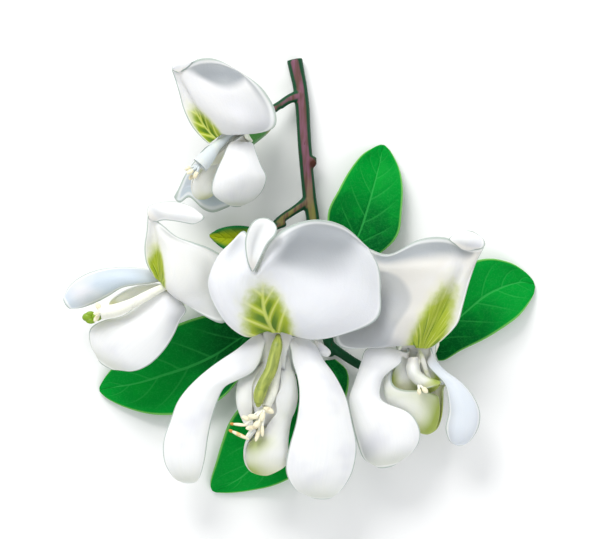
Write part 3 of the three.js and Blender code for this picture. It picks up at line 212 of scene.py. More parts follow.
MIDDLE = {
    "name": "middle", "mouth": [-2.7, -7.1, 7.6], "opens": [-0.05, -0.8, 0.6], "banner_side": [0, 0.6, 0.8],
    "pistil_side": 1, "knob": 0.42,
    "banner": [
        [[-4.5, -6.7, 9.3], [-3.4, -6.2, 9.4], [-2.3, -6.7, 9.3]],
        [[-6.6, -7.4, 9.8], [-6, -6.7, 10.4], [-5.3, -6, 10.7], [-4.5, -5.5, 10.6], [-3.6, -5.2, 10.3],
         [-2.8, -5.4, 10.7], [-1.6, -5.9, 11], [0, -6.7, 10.9], [1.6, -7.7, 10.3]],
        [[-9, -5.9, 10.2], [-8.2, -5.3, 11], [-7, -4.6, 11.5], [-5.8, -4, 11.6], [-4.35, -3.5, 11.2],
         [-2.8, -3.6, 11.8], [-0.2, -4.4, 12.6], [3, -5.8, 12.2], [5.6, -7, 11]],
        [[-10.8, -3.2, 10.6], [-9.9, -2.9, 11.6], [-8.4, -2.5, 12.2], [-6.9, -2.2, 12.8], [-5, -1.9, 12],
         [-3, -1.8, 12.6], [0.8, -2.2, 13.2], [6, -3.2, 13], [9.7, -5.1, 11.4]],
        [[-11.5, -0.8, 10.6], [-10.6, -0.6, 11.9], [-8.9, -0.3, 12.7], [-7.2, -0.4, 13.5],
         [-5.3, -0.9, 12.7], [-3.4, -0.2, 13.2], [1.2, 0.6, 13.4], [6.8, 0, 13.3], [10.1, -1.6, 11.6]],
        [[-11.1, 1, 10.7], [-10.1, 1.6, 12.2], [-8.4, 2.2, 13], [-6.8, 1.2, 13.9], [-5.35, 0, 13.2],
         [-4.2, 1, 13.8], [-0.4, 3, 13.8], [6, 3.2, 13.8], [9.9, 1.2, 11.8]],
        [[-10.3, 2.6, 10.9], [-9, 3.7, 12.4], [-7.4, 4.6, 13.4], [-6.4, 2.6, 13.6], [-5.4, 0.4, 13.4],
         [-3.9, 2.4, 14.5], [0.4, 5.7, 15.4], [5, 5.5, 15], [9, 3, 12.4]],
        [[-9.9, 3.1, 10.5], [-8.4, 4.6, 11.8], [-7, 5.9, 13], [-6.2, 4.4, 13.5], [-5.4, 0.7, 13.2],
         [-3.2, 5.2, 13.5], [1, 7.2, 14.6], [5.2, 6.6, 14.3], [8.7, 3.6, 12]],
    ],
    "lip": [
        [[-6.3, 0.9, 13.9], [-5.9, 0.8, 13.9], [-5.6, 0.7, 13.9]],
        [[-6.7, 2.8, 14.6], [-5.9, 2.6, 14.4], [-4.9, 2.4, 15]],
        [[-6.8, 5, 15.2], [-5.4, 4.7, 14.9], [-4, 4.2, 15.7]],
        [[-5.9, 7, 15.4], [-4.6, 6.3, 15.4], [-3, 5.3, 16.2]],
        [[-4.4, 7.9, 15.3], [-3.6, 7.2, 15.6], [-2.3, 6.5, 16.2]],
    ],
    "front_wing": [
        [-1.5, -7.8, 0.2, -7.2, 8, 7.8, 0.2], [-1.1, -9, 1.9, -8.3, 8.7, 7.9, 0.6],
        [-0.9, -10.6, 3, -10.3, 9.3, 8.1, 1], [-0.3, -12.6, 4.4, -12.2, 9.7, 8.3, 1.3],
        [-0.1, -15, 5.8, -15, 9.9, 8.4, 1.5], [-0.5, -18, 6.5, -18, 9.8, 8.6, 1.7],
        [-1.4, -21.2, 7.1, -21, 9.4, 8.4, 1.8], [-1.8, -24, 6.6, -24.2, 8.8, 8, 1.6],
        [-0.8, -26.2, 5.2, -26.5, 8.2, 7.6, 0.9], [1.1, -27.2, 4.1, -27.2, 7.6, 7.4, 0.2],
    ],
    "back_wing": [
        [-5.2, -6.9, -4.2, -7.7, 7.8, 8.3, 0.2], [-6.5, -7.8, -4.5, -8.8, 7.7, 8.7, 0.5],
        [-8, -9, -5, -10.5, 7.8, 9.2, 0.7], [-10, -10.3, -6, -11.9, 8, 9.4, 0.9],
        [-12, -11.8, -7.9, -12.8, 8, 9.2, 1], [-14, -13.7, -9.4, -13.6, 7.8, 8.8, 1.1],
        [-15.4, -15.6, -10.3, -15.4, 7.6, 8.4, 1.2], [-16.2, -17.8, -11, -17.6, 7.4, 8, 1.3],
        [-17.1, -20.4, -11.5, -20, 7.2, 7.6, 1.4], [-17, -23, -11.9, -22.8, 6.8, 7.2, 1.2],
        [-15.9, -24.9, -12.5, -24.8, 6.6, 6.8, 0.7], [-15.1, -25.35, -12.9, -25.3, 6.4, 6.5, 0.2],
    ],
    "keel": [
        [-3.2, -9.4, 6.8, 1.9, 0.9, 138, 0], [-3.8, -11.2, 7.1, 2.9, 1.2, 156, 5],
        [-4, -13, 7.5, 3.5, 1.6, 154, -2], [-4.15, -15, 7.7, 3.75, 1.9, 155, -4],
        [-4, -17.2, 7.6, 3.2, 1.7, 155, -12], [-3.7, -19.3, 7.7, 2.2, 1.5, 165, -38],
        [-4.2, -21.4, 7.7, 2.7, 1.8, 179, -66], [-4.3, -23.4, 7.5, 2.4, 1.4, 179, -72],
        [-4.2, -24.7, 7.2, 0.9, 0.5, 179, -72],
    ],
    "column": [
        [-2.8, -8.8, 8.2, 0.45], [-2.8, -10.2, 8.2, 0.5], [-3.05, -12, 8.65, 0.62], [-3.5, -14.2, 9, 0.74],
        [-4.3, -16.1, 9.6, 0.62],
    ],
    "pistil": [
        [-2.85, -8.3, 9.35, 0.7], [-3.2, -9.8, 9.65, 0.75], [-3.65, -11.5, 9.95, 0.77],
        [-4.55, -13.2, 10.2, 0.77], [-5.05, -14.6, 10.4, 0.78], [-5.2, -15.7, 10.5, 0.5],
    ],
    "anthers": [
        [-7.5, -18.3, 10.1, -1, 0.1, 0.25, 2.1], [-7.5, -19.6, 9.9, -0.9, 0.42, 0.27, 2.7],
        [-3.9, -16.5, 10.5, -0.7, 0.35, 0.42, 1.5], [-4.7, -17.3, 10.6, -0.3, -1, 0.36, 1.3],
        [-5.9, -17.3, 10.7, -1, 0.15, 0.4, 1.3], [-6.8, -17.5, 10.2, -1, 0.4, 0.33, 1.1],
        [-5.4, -18.3, 10.6, -0.6, -0.8, 0.42, 1.3], [-6.2, -18.7, 10.2, -1, -0.1, 0.36, 1.2],
        [-5.3, -19.6, 10.2, -0.3, -1, 0.28, 1.7], [-4.7, -19, 10.4, 0, -1, 0.25, 1.6],
    ],
}

RIGHT = {
    "name": "right", "mouth": [14.9, -9, 6.6], "opens": [0.2, -0.72, 0.66],
    "banner_side": [-0.1, 0.66, 0.72], "pistil_side": 1, "knob": 0.42,
    "banner": [
        [[13.9, -8.2, 8.5], [15, -8.4, 8.6], [16.2, -8.7, 8.5]],
        [[9.6, -8.7, 8.4], [11.4, -8.1, 9.4], [13, -7.6, 10], [14.4, -7, 9.9], [15.3, -7.2, 9.2],
         [16.4, -7.6, 9.3], [17.6, -7.9, 9.3]],
        [[4.6, -8.4, 7.8], [8, -6.8, 9], [11.8, -5.6, 10.2], [15.2, -5.2, 11], [16.6, -5.4, 9.8],
         [18, -5.8, 9.8], [19.6, -5.8, 9.8]],
        [[4.9, -3.4, 7.4], [8.8, -2.8, 8.6], [12.6, -3, 10], [16.2, -3, 11.2], [17.8, -3.2, 10],
         [19, -3.4, 10], [20.3, -3.6, 10]],
        [[6, 0.4, 7.4], [9.6, 0, 8.6], [13.4, -0.4, 10.2], [17.4, -0.8, 11.4], [19, -1, 10.4],
         [20, -0.9, 10.4], [21.1, -0.6, 10.2]],
        [[7.2, 2.6, 7.4], [10.4, 1.6, 8.8], [14.6, 2.2, 10.6], [18.6, 2.2, 11.4], [20.3, 1.6, 10.8],
         [21.2, 1.6, 10.8], [22, 2, 10.6]],
        [[8.3, 3.8, 7.2], [11.2, 3, 8], [14.8, 4.8, 9], [18, 5.1, 10.4], [20.6, 4, 11.2], [22, 3.7, 11.2],
         [23, 3.9, 11]],
    ],
    "lip": [
        [[18.2, 4.7, 10.9], [20.6, 3.5, 11.4], [22.8, 3.5, 11.2]],
        [[18.9, 5.2, 10.6], [20.8, 4.8, 12], [23.1, 4.3, 11.4]],
        [[19.8, 5.7, 10.6], [21.2, 5.9, 11.4], [22.7, 5.3, 11.2]],
    ],
    "front_wing": [
        [15.9, -10.7, 16.9, -10.1, 7, 6.8, 0.1], [16.9, -12, 18.2, -11.6, 7.1, 6.6, 0.3],
        [18.1, -13.3, 20, -12.9, 7.1, 6.5, 0.5], [18.5, -15, 21.5, -14.5, 6.9, 6.3, 0.7],
        [18.6, -16.8, 22.5, -16.6, 6.5, 6.1, 0.9], [18.2, -18.8, 22.4, -18.6, 6.1, 5.9, 0.9],
        [18.7, -20.4, 21.4, -20.3, 5.8, 5.7, 0.5], [19.6, -20.9, 20.5, -20.85, 5.6, 5.5, 0.15],
    ],
    "back_wing": [
        [11.4, -8.7, 12.8, -9.8, 7, 7.1, 0.2], [8.4, -8.8, 12.6, -10.7, 6.8, 7.2, 0.5],
        [7.6, -10.6, 11, -11.9, 6.5, 7.2, 0.7], [6.8, -13, 10.2, -13.1, 6.3, 7.1, 0.9],
        [6.1, -15.2, 10.3, -15.4, 6.2, 7.1, 1.1], [6.5, -18, 13.8, -16.9, 6.2, 7.3, 1.5],
        [7.2, -20.8, 15.1, -19.4, 6.1, 6.8, 1.4], [8, -22.7, 14.3, -21.6, 5.9, 6.4, 0.9],
        [9.6, -23.5, 12.2, -23.1, 5.7, 6, 0.2],
    ],
    "keel": [
        [14.9, -10.9, 5.9, 1.5, 0.8, 92, 0], [14.5, -12, 6, 3, 1, 105, 4],
        [14.3, -13.2, 6, 3.8, 1.3, 125, 12], [14.7, -14.5, 5.8, 3.6, 1.4, 157, 52],
        [15.4, -16.4, 5.4, 2.6, 1.3, 168, 68], [15.8, -18.2, 5.1, 1.8, 1, 170, 70],
        [16, -19.6, 4.9, 0.8, 0.5, 170, 70],
    ],
    "column": [
        [14.7, -10.4, 7.3, 0.45], [14.3, -11.4, 7.2, 0.45], [14.4, -12.4, 7, 0.45], [14.8, -13.2, 7.1, 0.42],
    ],
    "anthers": [[15.6, -14, 8.4], [14.9, -14.2, 8.4]],
    "pistil": [[15.4, -10.4, 7.7, 0.32], [15.7, -11.4, 7.3, 0.3], [16, -12.4, 6.8, 0.3]],
}

FLOWERS = [UPPER, LEFT, MIDDLE, RIGHT]

# The leaflets, in the same terms as a wing.
LEAVES = {
    "leaflet_top": [
        [4.6, 1.2, 5.6, 0.6, 2.4, 2.4, -0.1], [3.7, 4.5, 9.4, 2.6, 2.8, 2.6, -0.6],
        [3.5, 8.2, 12.2, 5.2, 3, 2.8, -1], [4.8, 11, 12.8, 8.6, 2.8, 2.6, -1.1],
        [6.2, 13.5, 12.9, 11.6, 2.2, 2.1, -1.1], [7.8, 15.5, 12.4, 14, 1.3, 1.3, -1.02],
        [9.6, 16.6, 11.2, 16.3, 0.6, 0.6, -0.1],
    ],
    "leaflet_right": [
        [15.9, -8.9, 16.5, -10, 1.2, 1, -0.1], [16.2, -6.4, 18, -10.4, 1.4, 1.2, -0.5],
        [17.2, -3.4, 20.3, -9.1, 1.8, 1.6, -0.8], [18.8, -0.6, 23.2, -7.7, 2.2, 2, -1],
        [20.8, 1.6, 25.8, -6.1, 2.2, 2.2, -1.1], [23.6, 2.45, 27.6, -4.7, 1.8, 1.8, -1.1],
        [26.5, 1.9, 28.9, -3, 1.2, 1.2, -0.92], [28.6, 0.6, 29.4, -2, 0.7, 0.7, -0.1],
    ],
    "leaflet_left": [
        [-3.6, -4.6, -3.9, -5.6, 1.9, 1.9, -0.1], [-5.8, -4.4, -5, -8, 2.2, 1.8, -0.5],
        [-9.2, -4.4, -6.8, -11.4, 2.4, 2, -0.8], [-12.4, -4.8, -9.4, -14.8, 2.4, 2.2, -1],
        [-15.4, -5.8, -12.6, -16.6, 2.2, 2.2, -1.1], [-18.4, -7.2, -15.8, -17.2, 1.9, 1.9, -1.1],
        [-21.2, -9.2, -19, -17.1, 1.5, 1.5, -1.1], [-23.4, -11.1, -22.2, -16.2, 1.1, 1.1, -0.82],
        [-25, -13.1, -24.8, -14.9, 0.7, 0.7, -0.1],
    ],
    "leaflet_low": [
        [3, -10.4, 4.4, -10.2, 2, 2, -0.1], [1, -11.4, 5.9, -11.6, 2.2, 2, -0.3],
        [-1.8, -12.6, 6.1, -13.6, 2.4, 2.2, -0.7], [-4.6, -14, 5.4, -16.4, 2.4, 2.3, -1],
        [-7, -15.6, 4.2, -19.4, 2.3, 2.3, -1.1], [-8.8, -17.9, 2.4, -22.2, 2.1, 2.1, -1.2],
        [-9.8, -20.5, 0, -24.4, 1.8, 1.8, -1.2], [-10.6, -23.2, -3, -26, 1.4, 1.4, -1.1],
        [-11.2, -25.2, -6.6, -26.8, 1, 1, -0.72], [-11.3, -26.4, -9.8, -27.1, 0.6, 0.6, -0.1],
    ],
    "leaflet_young": [
        [-4.4, 6, -4.6, 5.4, 4.2, 4.2, -0.1], [-5.6, 6.3, -5.8, 4.4, 4.4, 4.4, -0.3],
        [-7.2, 6.55, -7.4, 3.6, 4.7, 4.7, -0.5], [-8.8, 6.5, -8.8, 3.4, 4.9, 4.9, -0.5],
        [-10.2, 6.15, -10, 3.9, 4.8, 4.8, -0.3], [-11.3, 5.5, -11.2, 5, 4.6, 4.6, 0],
    ],
}

# The stalks and the twig: [x, y, z, radius]. A flower's stalk runs on to the foot of its calyx.
FLOWER_STALKS = {
    "upper": [[0.2, 23, 1.4, 0.65], [-1.3, 22.5, 2.2, 0.6], [-2.5, 21.7, 2.8, 0.55]],
    "left": [
        [1.1, 9.7, 2.3, 0.65], [-0.4, 8.7, 2.8, 0.58], [-2.6, 7.15, 3.2, 0.55], [-5.5, 4.2, 3, 0.5],
        [-8.2, 1.6, 3, 0.5],
    ],
    "middle": [[2.3, 2, 2.4, 0.55], [0, 1.2, 2.4, 0.5], [-1.8, 0, 2.6, 0.5]],
    "right": [[2.7, -1.2, 2.4, 0.55], [7, -1.2, 1.6, 0.5], [11, -2, 1.2, 0.5]],
}
TWIG = [
    [-0.7, 27.5, 0.9, 1], [-0.3, 25.5, 1, 0.93], [0, 24, 1.2, 0.9], [0.3, 21.5, 1.5, 0.9],
    [0.45, 19, 1.7, 0.87], [0.6, 16.5, 1.9, 0.87], [0.8, 14, 2.1, 0.85], [1, 12, 2.2, 0.85],
    [1.2, 10, 2.3, 0.85], [1.6, 7.5, 2.4, 0.84], [2.2, 3, 2.4, 0.8], [2.8, -2, 2.3, 0.75],
    [3.4, -7, 2.2, 0.7], [3.8, -8.9, 2.1, 0.62],
]
LEAF_STALKS = [
    [[2.5, 0.8, 2.4, 0.5], [3.6, 0.6, 2.4, 0.45], [4.75, 0.8, 2.4, 0.4]],
    [[3.6, -8.4, 2.1, 0.6], [4.9, -9.3, 2, 0.6], [7.6, -11, 1.6, 0.55], [10.5, -12, 1.2, 0.5],
     [13.5, -11.4, 1, 0.45], [15.7, -9.75, 1, 0.42]],
    [[2.9, -4.2, 2.3, 0.5], [0, -4.6, 2.2, 0.45], [-3.3, -5.1, 1.9, 0.4]],
    [[3.8, -8.6, 2.1, 0.5], [3.75, -9.9, 2, 0.42]],
    [[-2, 7, 3.1, 0.5], [-3, 6.4, 3.6, 0.42], [-4.1, 5.8, 4.1, 0.38]],
]

# The green patch at a banner's foot: where it starts, the way it runs, how long it is, and how far it reaches
# to the left and to the right of that line.
MARKS = {
    "upper": {"foot": (-10.6, 17.6), "way": (-0.6, 0.8), "length": 5.9, "left": 2.4, "right": 1.3},
    "left": {"foot": (-17.3, -0.2), "way": (-0.08, 1), "length": 5.6, "left": 2.5, "right": 0.8},
    "middle": {"foot": (-3.4, -6.4), "way": (-0.26, 0.96), "length": 7.2, "left": 4.5, "right": 3.3},
    "right": {"foot": (15.4, -8.6), "way": (0.4, 0.92), "length": 10.8, "left": 2.7, "right": 3},
}

# Dents in the banners just under their top edges: [u, v, reach in u, reach in v, depth in millimetres].
DENTS = {
    "upper": [[0.78, 0.86, 0.2, 0.08, 0.7]],
    "left": [[0.8, 0.55, 0.16, 0.2, 0.3]],
    "middle": [[0.82, 0.9, 0.14, 0.06, 0.8], [0.2, 0.84, 0.1, 0.1, 0.5]],
    "right": [[0.4, 0.91, 0.3, 0.06, 0.7]],
}

# The band of painted shade under a banner's pale rim: [u where it starts, u where it is deepest, reach of
# that in u, its depth there in millimetres, how much narrower it gets away from there, how soft, whether it
# runs on down the right edge, how strong].
RIM_SHADES = {
    "upper": [0.42, 0.8, 0.2, 2.7, 2, 0.8, True, 1],
    "left": [0.3, 0.5, 0.2, 1.2, 0.8, 0.8, False, 0.5],
    "middle": [0.62, 0.78, 0.15, 3.5, 2.6, 1.3, True, 0.85],
    "right": [0.02, 0.3, 0.4, 2.3, 1.2, 1.2, False, 1],
}

# Spots of painted shade on the banners: [u, v, reach in u, reach in v, how strong].
BANNER_SHADE_SPOTS = {
    "upper": [[0.95, 0.45, 0.1, 0.25, 0.35]],
    "left": [[0.1, 0.8, 0.12, 0.3, 0.35], [0.95, 0.5, 0.15, 0.3, 0.3]],
    "middle": [[0.8, 0.74, 0.2, 0.1, 0.25], [0.22, 0.88, 0.07, 0.09, 0.5], [0.93, 0.3, 0.1, 0.2, 0.2]],
    "right": [[0.08, 0.45, 0.22, 0.45, 0.6]],
}

# Painted shade on the far side of a fold: [u, v, half width in u, half height in v, how strong].
FOLD_SHADES = {"right": [0.1, 0.6, 0.29, 0.22, 0.55]}

# Where a banner's top edge rolls up: [u, reach in u, height, how far it reaches in from the edge].
ROLLS = {
    "upper": [0.8, 0.3, 0.25, 0.9],
    "left": [0.7, 0.3, 0.15, 0.9],
    "middle": [0.735, 0.11, 0.75, 1.9],
    "right": [0.3, 0.25, 0.25, 1],
}

# How blunt the two ends of a banner's rolled corner are.
LIP_ENDS = {"upper": 5, "left": 14, "middle": 5, "right": 5}

# How strongly the two edges of a keel are ruffled, in millimetres.
RUFFLES = {"upper": 0.1, "left": 0.1, "middle": 0.16, "right": 0.38}

# Shaded places on the other petals: [u, v, reach in u, reach in v, how strong].
SHADES = {
    "wing_front_upper": [[0.5, 0.24, 0.6, 0.1, 0.5]],
    "wing_back_upper": [[0.5, 1, 1, 0.3, 0.35], [0.2, 0.8, 0.2, 0.25, 0.4]],
    "wing_front_left": [[1, 0.42, 0.3, 0.18, 0.8], [0, 0.62, 0.2, 0.15, 0.25], [0.9, 0.95, 0.5, 0.1, 0.4]],
    "wing_back_left": [[0, 0.6, 0.25, 0.5, 0.35], [1, 0.6, 0.12, 0.4, 0.45], [0.4, 0.3, 0.4, 0.12, 0.4]],
    "wing_front_middle": [[0.3, 0.28, 0.4, 0.12, 0.5], [0.4, 1, 0.5, 0.05, 0.5]],
    "wing_back_middle": [[0.6, 0.3, 0.5, 0.12, 0.5], [0.5, 1, 0.8, 0.08, 0.7], [1, 0.6, 0.07, 0.3, 0.4]],
    "wing_front_right": [[0.5, 0.98, 0.8, 0.12, 0.7], [0.05, 0.75, 0.2, 0.3, 0.5], [1, 0.7, 0.12, 0.3, 0.4]],
    "lip_upper": [[0.3, 0.2, 0.3, 0.2, 0.4]],
    "lip_left": [[0.4, 0.3, 0.4, 0.12, 0.5]],
    "lip_middle": [[0.42, 0.45, 0.13, 0.4, 0.45]],
    "lip_right": [[0.5, 0.25, 0.4, 0.2, 0.5]],
    "wing_back_right": [
        [0.05, 0.88, 0.3, 0.12, 0.9], [0.6, 0.97, 0.5, 0.07, 0.6], [0.9, 0.45, 0.2, 0.1, 0.3],
    ],
}

# Green places on the keels, in the same terms.
GREENS = {
    "upper": [[0.1, 1, 0.4, 0.05, 0.5]],
    "left": [[0, 0.75, 0.2, 0.3, 0.5]],
    "middle": [[0.06, 0.78, 0.12, 0.05, 0.8], [0.02, 0.93, 0.14, 0.06, 1], [0.3, 1, 0.4, 0.05, 0.5]],
    "right": [[1, 0.8, 0.15, 0.2, 1], [0, 0.84, 0.14, 0.25, 1], [0.8, 1, 0.4, 0.16, 1]],
}

# The small lobe at the foot of the middle flower's front wing, in the same terms as a wing.
LOBE = [
    [1.4, -9, 1.9, -7.7, 7.5, 7.5, 0.2], [2.2, -9.5, 2.9, -8.3, 7.4, 7.4, 0.35],
    [3, -9.8, 3.7, -9, 7.2, 7.2, 0.3], [3.45, -9.8, 3.8, -9.5, 7.1, 7.1, 0.1],
]

# The inner fold between the two halves of a keel, under the column, in the same terms.
LININGS = {
    "middle": [
        [-4.6, -6.55, -0.8, -6.4, 8.6, 8.5, -0.1], [-4.6, -8.4, -1.2, -8.3, 8.5, 8.4, -0.2],
        [-5.3, -9.8, -1.7, -9.7, 8.2, 8.1, -0.3], [-6, -12, -1.9, -12, 8.45, 8.15, -0.3],
        [-6.2, -14, -1.9, -14, 8.9, 8.9, -0.35], [-5.9, -16.2, -2.2, -16.2, 8.9, 8.85, -0.4],
        [-5, -18.2, -2.6, -18.2, 8.4, 8.5, -0.3],
    ],
    "right": [
        [12.2, -7.9, 17.2, -7.7, 7.3, 7.3, -0.2], [12.3, -9.5, 17, -9.3, 6.7, 6.7, -0.3],
        [12, -10.6, 17.3, -10.4, 6.5, 6.5, -0.4], [11.5, -12.2, 17.5, -12, 6.3, 6.3, -0.5],
        [11.4, -13.6, 17.6, -13.4, 6.2, 6.2, -0.4],
    ],
}

# The rolled inner edge in the right keel, in the same terms.
INNER_CURL = [
    [13.6, -9.9, 14.9, -9.8, 6.9, 6.9, 1.3], [13.3, -11, 15, -10.9, 6.6, 6.7, 1.8],
    [13.5, -12.2, 15.2, -11.8, 6.6, 6.8, 1.9], [14.2, -13.2, 16.2, -12.5, 6.8, 7.1, 1.4],
    [15.1, -13.8, 17.6, -12.9, 7.2, 7.1, 0.8],
]


def linear(*screen):
    """A colour as a screen shows it, turned into the shader's own values."""
    return tuple(c / 12.92 if c <= 0.04045 else ((c + 0.055) / 1.055) ** 2.4 for c in screen)


def smooth(value, low, high):
    """0 below low and 1 above high, with a soft step between."""
    share = min(max((value - low) / (high - low), 0.0), 1.0)
    return share * share * (3 - 2 * share)


def bell(value, middle, reach):
    """1 at middle, falling off softly within reach."""
    return math.exp(-(((value - middle) / reach) ** 2))


def metres(point):
    """A point of the tables as a place in the scene."""
    return (Vector(point) + SHIFT) * MM


# The curves and sheets that the flowers and leaflets are made of


def through(points, t):
    """A smooth line through points of any number of values, with t from 0 to 1."""
    last = len(points) - 1
    at = min(max(t, 0.0), 1.0) * last
    i = min(int(at), last - 1)
    f = at - i
    p1, p2 = points[i], points[i + 1]
    p0 = points[i - 1] if i > 0 else [2 * a - b for a, b in zip(p1, p2)]
    p3 = points[i + 2] if i + 2 <= last else [2 * b - a for a, b in zip(p1, p2)]
    line = []
    for a, b, c, d in zip(p0, p1, p2, p3):
        start, end, rise = (c - a) / 2, (d - b) / 2, c - b
        line.append(b + f * (start + f * (3 * rise - 2 * start - end + f * (start + end - 2 * rise))))
    return line


def direction(points, t, step=1e-3):
    """Which way such a line runs at t."""
    ahead = Vector(through(points, min(t + step, 1))[:3])
    return (ahead - Vector(through(points, max(t - step, 0))[:3])).normalized()


def flower_frame(flower):
    """A flower's own axis, banner side and sideways direction."""
    axis = Vector(flower["opens"]).normalized()
    up = Vector(flower["banner_side"])
    up = (up - axis * up.dot(axis)).normalized()
    return axis, up, axis.cross(up)


def place(flower, out, banner=0.0, sideways=0.0):
    """A point given along a flower's own directions, from where its petals part."""
    axis, up, side = flower_frame(flower)
    return list(Vector(flower["mouth"]) + axis * out + up * banner + side * sideways)


def claw_rows(flower, turn, columns, near):
    """Two rows of points across a petal's stalk in the calyx, the first edge beside the point near."""
    rows = []
    for out in (-CLAW["depth"], CLAW["mouth"]):
        row = []
        for i in range(columns):
            off = CLAW["half"] * (2 * i / (columns - 1) - 1)
            banner = CLAW["ring"] * math.cos(turn) - off * math.sin(turn)
            sideways = CLAW["ring"] * math.sin(turn) + off * math.cos(turn)
            row.append(place(flower, out, banner, sideways))
        rows.append(row)
    first, last = ((Vector(rows[1][n]) - Vector(near)).length for n in (0, -1))
    return [row[::-1] for row in rows] if last < first else rows


def net(rows):
    """A sheet through rows of points."""
    columns = {}

    def surface(u, v):
        if u not in columns:
            columns[u] = [through(row, u) for row in rows]
        return through(columns[u], v)

    return surface


def between(stations, sharp=2):
    """A sheet between two edges, with a rounded end. It bulges: round at sharp 2, creased below it."""
    before, last = (
        (Vector((ax, ay, az)) + Vector((bx, by, bz))) / 2 for ax, ay, bx, by, az, bz, _ in stations[-2:]
    )
    way = (last - before).normalized()
    ax, ay, bx, by = stations[-1][:4]
    end = TIP_ROUND * math.hypot(bx - ax, by - ay)

    def surface(u, v):
        ax, ay, bx, by, az, bz, bulge = through(stations, v)
        arch = 1 - abs(2 * u - 1) ** sharp
        swell = math.sqrt(max(1 - (2 * u - 1) ** 2, 0)) * max(0, (v - TIP_FROM) / (1 - TIP_FROM)) ** 2
        point = Vector((ax + (bx - ax) * u, ay + (by - ay) * u, az + (bz - az) * u + bulge * arch))
        return list(point + way * end * swell)

    return surface


def sheet_size(plain):
    """A sheet's width and length in millimetres, measured across its middle."""
    width = (Vector(plain(1, 0.7)) - Vector(plain(0, 0.7))).length
    return width, (Vector(plain(0.5, 1)) - Vector(plain(0.5, 0.2))).length


def from_edge(u, v, width, length):
    """About how far a point of a sheet is from its free edge, in millimetres."""
    return min(u * width, (1 - u) * width, (1 - v) * length)


def closing(v, start, power, least):
    """How wide a sheet still is near its end: 1 as far as start, then down along an arc."""
    return math.sqrt(max(1 - max((v - start) / (1 - start), 0) ** power, least))


def banner_sheet(flower):
    """The banner, with rippled edges, dents under its top edge, and a place where that edge rolls up."""
    name = flower["name"]
    plain = net(claw_rows(flower, 0, 3, flower["banner"][0][0]) + flower["banner"])
    width, length = sheet_size(plain)
    roll_at, roll_reach, roll_height, roll_width = ROLLS[name]

    def surface(u, v):
        x, y, z = plain(u, v)
        near = from_edge(u, v, width, length)
        edge = 1 - smooth(near, 0.0, 1.4)
        ripple = 0.12 * edge * math.sin(27 * v + 6 * u) + 0.04 * math.sin(19 * u + 3 * v)
        rim = 0.16 * (1 - smooth(near, 0.0, 0.45))
        roll = roll_height * bell(u, roll_at, roll_reach) * (1 - smooth((1 - v) * length, 0.0, roll_width))
        dent = 0
        for at_u, at_v, far_u, far_v, depth in DENTS[name]:
            dent += depth * bell(u, at_u, far_u) * bell(v, at_v, far_v)
        return [x, y, z + smooth(v, 0.35, 0.6) * (ripple + rim + roll - dent)]

    return surface


def lip_sheet(flower):
    """The banner's rolled corner, with its own corners rounded off and a raised rim."""
    plain = net(flower["lip"])

    def surface(u, v):
        narrow = math.sqrt(max(1 - abs(2 * v - 1) ** LIP_ENDS[flower["name"]], 0.03))
        x, y, z = plain(0.5 + (u - 0.5) * narrow, v)
        return [x, y, z + 0.1 * (1 - smooth(min(u, 1 - u), 0.0, 0.12))]

    return surface


def wing_sheet(flower, stations, turn):
    """A wing on its stalk, with a slack fold, a dimple and a raised rim. One wing's end is notched."""
    near = [stations[0][0], stations[0][1], stations[0][4]]
    start = [[a[0], a[1], b[0], b[1], a[2], b[2], 0] for a, b in claw_rows(flower, turn, 2, near)]
    plain = between(start + stations)
    width, length = sheet_size(plain)
    notched = flower is UPPER and turn > 0
    way = (Vector(plain(0.5, 1)) - Vector(plain(0.5, 0.8))).normalized()

    def surface(u, v):
        x, y, z = plain(u, v)
        near = from_edge(u, v, width, length * 2)
        fold = 0.09 * (1 - abs(2 * u - 1)) * math.sin(4.3 * math.pi * v + 1.7 * u) * smooth(v, 0.2, 0.4)
        dimple = 0.12 * bell(u, 0.35, 0.16) * bell(v, 0.46, 0.06)
        rim = 0.12 * (1 - smooth(near, 0.0, 0.4)) * smooth(v, 0.25, 0.4)
        point = Vector((x, y, z + fold + rim - dimple))
        if notched:
            scallop = 1.3 * bell(u, 0.27, 0.13) - 0.35 * bell(u, 0.62, 0.15) - 0.2 * bell(u, 0.05, 0.1)
            point -= way * scallop * smooth(v, 0.72, 1.0)
        return list(point)

    return surface


def keel_sheet(flower):
    """The boat of a keel: bent round its own line, with ruffled edges and a closed tip."""
    start = [
        [*place(flower, out, 0.35 - CLAW["ring"]), half, deep, spread, 0]
        for out, half, deep, spread in ((-CLAW["depth"], 0.85, 0.35, 62), (CLAW["mouth"], 1.15, 0.55, 100))
    ]
    stations = start + flower["keel"]

    def surface(u, v):
        x, y, z, half, deep, spread, lean = through(stations, v)
        way = direction(stations, v, 1e-2)
        side = way.cross(Vector((0, 0, 1))).normalized()
        edge = abs(2 * u - 1) ** 6 * smooth(v, 0.3, 0.45) * (1 - smooth(v, 0.58, 0.75))
        ruffle = RUFFLES[flower["name"]] * edge * math.sin(34 * v + 2 * u)
        turn = math.radians(spread * (2 * u - 1) + lean + 20 * ruffle)
        grow = (1 + 0.35 * ruffle) * closing(v, 0.94, 2, 0.01)
        bend = side * half * grow * math.sin(turn) - side.cross(way) * deep * grow * math.cos(turn)
        return Vector((x, y, z)) + bend

    return surface


